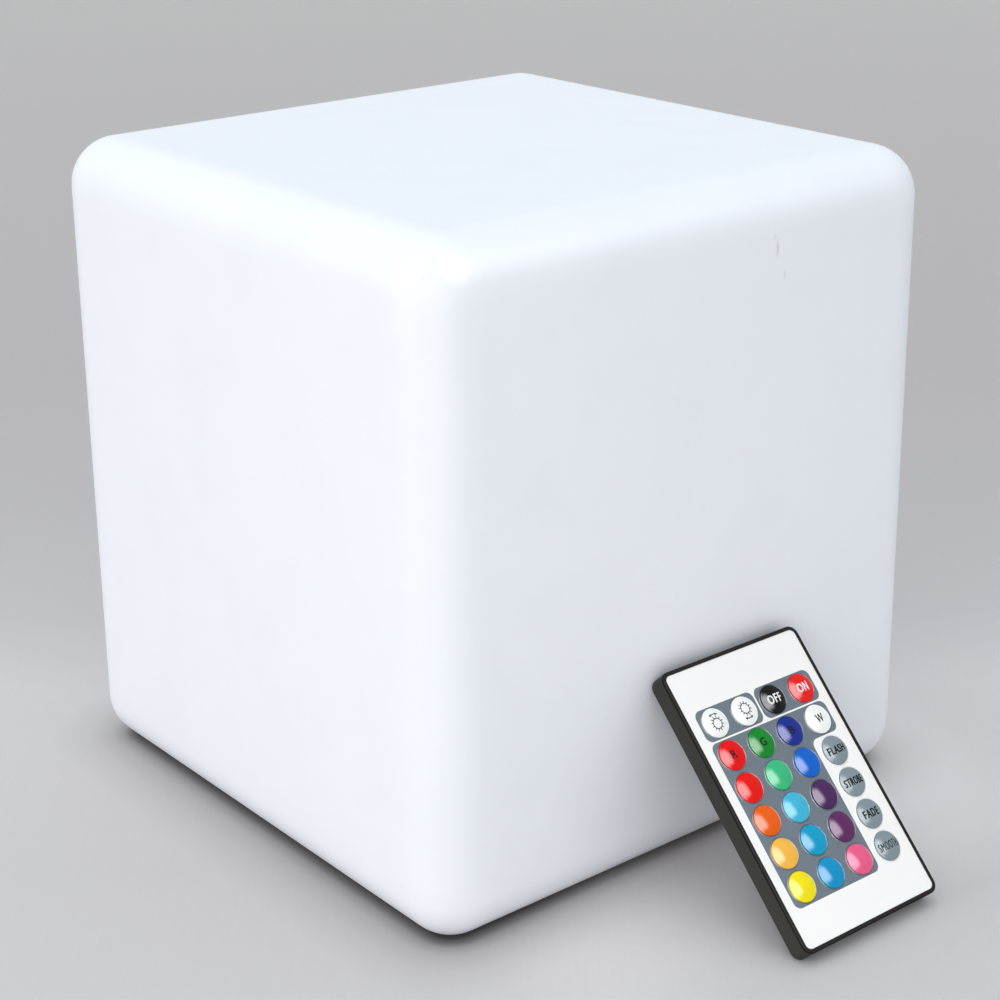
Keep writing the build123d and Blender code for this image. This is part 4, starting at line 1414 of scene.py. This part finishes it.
@dataclass(frozen=True)
class KeyMaker:
    """Turns the domed keys and lays their print over the domes."""

    frame: RemoteFrame
    pitch_across: float = 11.54 * MM
    pitch_along: float = 10.11 * MM
    middle: tuple[float, float] = (0.15 * MM, -0.62 * MM)
    radius: float = 4.4 * MM
    edge: float = 0.15 * MM
    rise: float = 0.8 * MM
    edge_round: float = 0.16 * MM
    flange_radius: float = 4.9 * MM
    flange_top: float = -1.35 * MM
    flange_bottom: float = -1.75 * MM
    plunger_radius: float = 1.0 * MM
    plunger_end: float = -2.05 * MM
    ink_depth: float = 0.02 * MM
    ink_proud: float = 0.012 * MM
    longest_edge: float = 0.35 * MM
    sun_radius: float = 1.5 * MM
    sun_rays: int = 12
    ray_gap: float = 0.12 * MM
    ray_length: float = 0.62 * MM
    stroke: float = 0.26 * MM
    sun_shift: float = 0.5 * MM
    arrow_reach: float = 2.95 * MM
    arrow_half_angle: float = 21.0
    arrow_head: float = 0.85 * MM
    arrow_point: float = 0.02 * MM
    ring_steps: int = 49
    bow_steps: int = 13
    letter_steps: int = 3
    cap_rings: int = 14
    cap_steps: int = 56
    edge_turn: float = 70.0
    cuts: int = 5

    def place(self, row: int, column: int) -> np.ndarray:
        """Where a key's axis meets the rim's plane.

        Args:
            row: Its row, counted from the top.
            column: Its column, counted from the left.

        Returns:
            The place across, along and out of the remote.
        """
        rows, columns = len(KEYS), len(KEYS[0])
        across = self.middle[0] + (column - (columns - 1) / 2) * self.pitch_across
        along = self.middle[1] + ((rows - 1) / 2 - row) * self.pitch_along
        return np.array([across, along, 0.0])

    def ball(self) -> tuple[float, float]:
        """Radius of the dome's ball and the height of its centre."""
        radius = (self.radius**2 + self.rise**2) / (2 * self.rise)
        return radius, self.edge + self.rise - radius

    def dome(self, distance: np.ndarray) -> np.ndarray:
        """Height of the dome at a distance from the key's axis: a circle's upper arc."""
        radius, centre = self.ball()
        return centre + np.sqrt(radius**2 - distance**2)

    def cap(self) -> np.ndarray:
        """The key about its own axis: dome, rounded edge, side, flange and plunger.

        Returns:
            A grid, turned from the key's profile.
        """
        brow = self.radius - self.edge_round
        across = np.linspace(0, brow, self.cap_rings)
        top = np.stack([across, self.dome(across)], axis=-1)
        edge_centre = (brow, self.dome(brow) - self.edge_round)
        edge = arc(edge_centre, self.edge_round, self.edge_turn, 0, 5)
        rest = [
            (self.radius, self.flange_top), (self.flange_radius, self.flange_top),
            (self.flange_radius, self.flange_bottom), (self.plunger_radius, self.flange_bottom),
            (self.plunger_radius, self.plunger_end), (0.0, self.plunger_end),
        ]
        return turned(np.concatenate([top, edge, np.array(rest)]), self.cap_steps)

    def letters(self, key: Key) -> tuple[np.ndarray, np.ndarray]:
        """Draw a word as a thin slab that is cut fine enough to bend over the dome.

        A narrow word's upright strokes come out thin, so each side of a stroke is pushed out
        sideways by the part of its normal that points across the word.

        Args:
            key: The key with the word and its size.

        Returns:
            Points about the key's middle, and triangles as rows of three numbers.
        """
        curve = bpy.data.curves.new("word", "FONT")
        curve.body = key.word
        curve.align_x = "CENTER"
        curve.resolution_u = self.letter_steps
        curve.offset = key.bold
        curve.space_character = key.spread
        curve.extrude = 0.5  # any thickness will do, because the slab is brought to size below
        drawn = bpy.data.objects.new("word", curve)
        bpy.context.scene.collection.objects.link(drawn)
        mesh = bpy.data.meshes.new_from_object(drawn)
        bpy.data.objects.remove(drawn)
        points = numbers(mesh.vertices, "co", 3)
        low, high = points.min(axis=0), points.max(axis=0)
        size = np.array([key.letter_width, key.letter_height, self.ink_depth + self.ink_proud])
        points = (points - (low + high) / 2) / (high - low) * size
        mesh.vertices.foreach_set("co", points.ravel())
        welded = bmesh.new()
        welded.from_mesh(mesh)
        bmesh.ops.remove_doubles(welded, verts=welded.verts, dist=1e-7)
        welded.to_mesh(mesh)
        welded.free()
        points = numbers(mesh.vertices, "co", 3)
        points[:, 0] += self.sideways(mesh) * key.heavier
        mesh.vertices.foreach_set("co", points.ravel())
        cut = bmesh.new()
        cut.from_mesh(mesh)
        bmesh.ops.triangulate(cut, faces=cut.faces)
        for _ in range(self.cuts):
            long_edges = [edge for edge in cut.edges if edge.calc_length() > self.longest_edge]
            bmesh.ops.subdivide_edges(cut, edges=long_edges, cuts=1)
            bmesh.ops.triangulate(cut, faces=cut.faces)
        cut.to_mesh(mesh)
        cut.free()
        points = numbers(mesh.vertices, "co", 3)
        faces = numbers(mesh.loops, "vertex_index", 1, int).reshape(-1, 3)
        bpy.data.meshes.remove(mesh)
        return points, faces

    @staticmethod
    def sideways(mesh: bpy.types.Mesh) -> np.ndarray:
        """Find how far each point's faces lean across the word.

        Of the x parts of the normals round a point, the one furthest from 0 counts.

        Args:
            mesh: The word.

        Returns:
            One number for each point, from -1 to 1.
        """
        corners = numbers(mesh.loops, "vertex_index", 1, int)[:, 0]
        sides = numbers(mesh.polygons, "loop_total", 1, int)[:, 0]
        leans = np.repeat(numbers(mesh.polygons, "normal", 3)[:, 0], sides)
        most, least = np.zeros(len(mesh.vertices)), np.zeros(len(mesh.vertices))
        np.maximum.at(most, corners, leans)
        np.minimum.at(least, corners, leans)
        return np.where(most >= -least, most, least)

    def ribbon(self, path: np.ndarray, widths: np.ndarray) -> np.ndarray:
        """A closed flat band along a path, as wide at each point as its width says.

        The four corners of the band's section lie half a width to each side of the path,
        square to it, and at the ink's upper and lower face.

        Args:
            path: Points of the path, across and along the remote.
            widths: The band's width at each point.

        Returns:
            A grid with a row for each section, with its ends drawn to a point.
        """
        way = np.gradient(path, axis=0)
        way = way / np.linalg.norm(way, axis=1, keepdims=True)
        side = np.stack([-way[:, 1], way[:, 0]], axis=-1) * widths[:, None] / 2
        half = (self.ink_depth + self.ink_proud) / 2
        corners = [(side, half), (-side, half), (-side, -half), (side, -half)]
        band = np.stack([np.column_stack([path + s, np.full(len(path), z)]) for s, z in corners], axis=1)
        first, last = band[:1].mean(axis=1, keepdims=True), band[-1:].mean(axis=1, keepdims=True)
        return np.concatenate([np.repeat(first, 4, axis=1), band, np.repeat(last, 4, axis=1)])

    def sun(self, legend: Legend) -> list[np.ndarray]:
        """The sun's ring and rays, and the arrow with two heads over or under it.

        The ring is a circle, a ray runs out from it along its radius, and the arrow is an arc
        about the ring's centre whose heads run on in the direction of its ends.

        Args:
            legend: Which side of the sun the arrow is on.

        Returns:
            The bands of ink, one grid each.
        """
        way = legend.value
        centre = np.array([0.0, -way * self.sun_shift])
        turn = np.linspace(0, math.tau, self.ring_steps)
        ring = np.stack([np.cos(turn), np.sin(turn)], axis=-1)
        bands = [self.ribbon(centre + ring * self.sun_radius, np.full(len(ring), self.stroke))]
        start = self.sun_radius + self.ray_gap
        for angle in (np.arange(self.sun_rays) + 0.5) * math.tau / self.sun_rays:
            ray = np.array([math.cos(angle), math.sin(angle)])
            reach = np.linspace(start, start + self.ray_length, 3)[:, None]
            bands.append(self.ribbon(centre + ray * reach, np.full(3, self.stroke)))
        bow = np.radians(np.linspace(-self.arrow_half_angle, self.arrow_half_angle, self.bow_steps))
        arrow = centre + self.arrow_reach * np.stack([np.sin(bow), way * np.cos(bow)], axis=-1)
        bands.append(self.ribbon(arrow, np.full(len(arrow), self.stroke)))
        for end, inner in ((arrow[0], arrow[2]), (arrow[-1], arrow[-3])):
            ahead = (end - inner) / np.linalg.norm(end - inner)
            head = end + ahead * np.linspace(-0.4, 0.6, 4)[:, None] * self.arrow_head
            bands.append(self.ribbon(head, np.linspace(self.arrow_head, self.arrow_point, 4)))
        return bands

    def bend(self, points: np.ndarray, at: np.ndarray) -> np.ndarray:
        """Lay flat ink on the dome: each point is raised by the dome's height under it.

        Args:
            points: Points about the key's middle.
            at: The key's place on the remote.

        Returns:
            The points in the remote's leaning place.
        """
        raised = points.copy()
        middle = (self.ink_proud - self.ink_depth) / 2
        raised[..., 2] += middle + self.dome(np.linalg.norm(points[..., :2], axis=-1))
        return self.frame.lift(raised + at)

    def build(self, key: Key, row: int, column: int) -> bpy.types.Object:
        """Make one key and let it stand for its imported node.

        Args:
            key: The key's name, colours and print.
            row: Its row, counted from the top.
            column: Its column, counted from the left.

        Returns:
            The key, with its print as a second finish.
        """
        at = self.place(row, column)
        skin = Skin()
        skin.add(self.frame.lift(self.cap() + at), wraps=True)
        if key.legend is not Legend.NONE:
            for band in self.sun(key.legend):
                skin.add(self.bend(band, at), wraps=True, slot=1)
        if key.word:
            points, faces = self.letters(key)
            skin.add_faces(self.bend(points, at), faces, slot=1)
        ink = Ink(key.name + "_print", key.ink)
        piece = skin.piece(key.name + "_cap", [KeyResin(key).build(), ink.build()], crease=50.0, weld=1e-7)
        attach(piece, key.name)
        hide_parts(key.name)
        return piece


@dataclass(frozen=True)
class FilmLips:
    """The low lips that embossing leaves in the film round each key."""

    maker: KeyMaker
    clearance: float = 0.03 * MM
    width: float = 0.42 * MM
    height: float = 0.11 * MM
    film_top: float = -0.15 * MM
    root: float = 0.05 * MM
    arch_steps: int = 9

    def build(self) -> bpy.types.Object:
        """Make every lip as one piece: half an ellipse turned about each key's axis.

        Returns:
            The lips.
        """
        inner = self.maker.radius + self.clearance
        turn = np.radians(np.linspace(180, 0, self.arch_steps))
        arch = np.stack([
            inner + self.width / 2 * (1 + np.cos(turn)), self.film_top + self.height * np.sin(turn),
        ], axis=-1)
        foot = self.film_top - self.root
        profile = np.concatenate([[(inner, foot)], arch, [(inner + self.width, foot), (inner, foot)]])
        ring = turned(profile, self.maker.cap_steps)
        skin = Skin()
        for row, keys in enumerate(KEYS):
            for column in range(len(keys)):
                skin.add(self.maker.frame.lift(ring + self.maker.place(row, column)), wraps=True)
        gloss = FilmPrint(self.maker.frame, "film_lip", roughness=0.2, coat=1.0)
        piece = skin.piece("film_lips", [gloss.build()], crease=60.0)
        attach(piece, "remote")
        return piece


@dataclass(frozen=True)
class Remote:
    """The card remote, leaning on the cube."""

    film_middle: float = 0.275 * MM

    def frame(self, joints: Sequence[Mapping[str, Any]]) -> RemoteFrame:
        """Find the remote's directions from its joint's axis and the film's place.

        Args:
            joints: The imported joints.

        Returns:
            The frame, whose origin is the middle of the case at its rim's height.
        """
        lift = next(joint for joint in joints if joint["name"] == "remote_lift")
        out = np.array(lift["axis"], float)
        across = np.array([1.0, 0.0, 0.0])
        low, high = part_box("remote_overlay")
        origin = (np.array(low) + np.array(high)) / 2 + out * self.film_middle
        return RemoteFrame(origin, across, np.cross(out, across), out)

    def build(self, frame: RemoteFrame) -> None:
        """Make every key and the lips round them.

        Args:
            frame: The remote's directions.
        """
        maker = KeyMaker(frame)
        LOG.info("made %s", FilmLips(maker).build().name)
        for row, keys in enumerate(KEYS):
            for column, key in enumerate(keys):
                piece = maker.build(key, row, column)
                LOG.info("made %s", piece.name)


# ------------------------------------------------------------------ assembly
FINISHES = (
    Moulded("base_plastic", screen(236, 237, 240), 0.45, mottle=0.015),
    Moulded("button_plastic", screen(188, 192, 198), 0.4, mottle=0.03),
    Moulded("silicone", screen(58, 58, 61), 0.6, mottle=0.05, handling=0.2),
    Moulded("component_black", screen(30, 30, 32), 0.5),
    Metal("screw_steel", (0.58, 0.58, 0.57), 0.32),
    Metal("spring_steel", (0.7, 0.69, 0.66), 0.22),
    BoardLacquer(),
    LampPackage(),
    Clear("clear_plastic", screen(236, 240, 244), 0.12),
    ShrinkSleeve(),
    WireCover(),
)


def dress(record: Mapping[str, Any], finishes: Mapping[str, bpy.types.Material],
          nodes: Mapping[str, bpy.types.Object]) -> None:
    """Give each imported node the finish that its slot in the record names.

    Args:
        record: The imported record.
        finishes: Materials by slot name.
        nodes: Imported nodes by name.
    """
    for part in record["subparts"]:
        finish = finishes.get(part["material_slot"])
        if finish is None:
            continue
        for slot in nodes[part["node"]].material_slots:
            slot.material = finish
        LOG.info("dressed %s in %s", part["node"], part["material_slot"])


def main() -> None:
    """Build the picture and the pieces in order."""
    logging.basicConfig(level=logging.INFO, format="%(message)s")
    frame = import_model()
    low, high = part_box("cube_shell")
    middle = np.array([0.0, 0.0, (low.z + high.z) / 2])

    bpy.context.scene.view_settings.view_transform = "Standard"
    viewpoint = Viewpoint()
    viewpoint.build(middle)
    Studio(viewpoint).build(middle)

    shell = ShellPlastic().build()
    LOG.info("made %s", CubeShell().build(shell).name)

    remote = Remote()
    remote_frame = remote.frame(frame["joints"])
    remote_finishes = (FilmPrint(remote_frame), CaseResin(remote_frame))
    finishes = {finish.name: finish.build() for finish in (*FINISHES, *remote_finishes)}
    dress(frame["record"], finishes, frame["nodes"])
    remote.build(remote_frame)


if __name__ == "__main__":
    main()
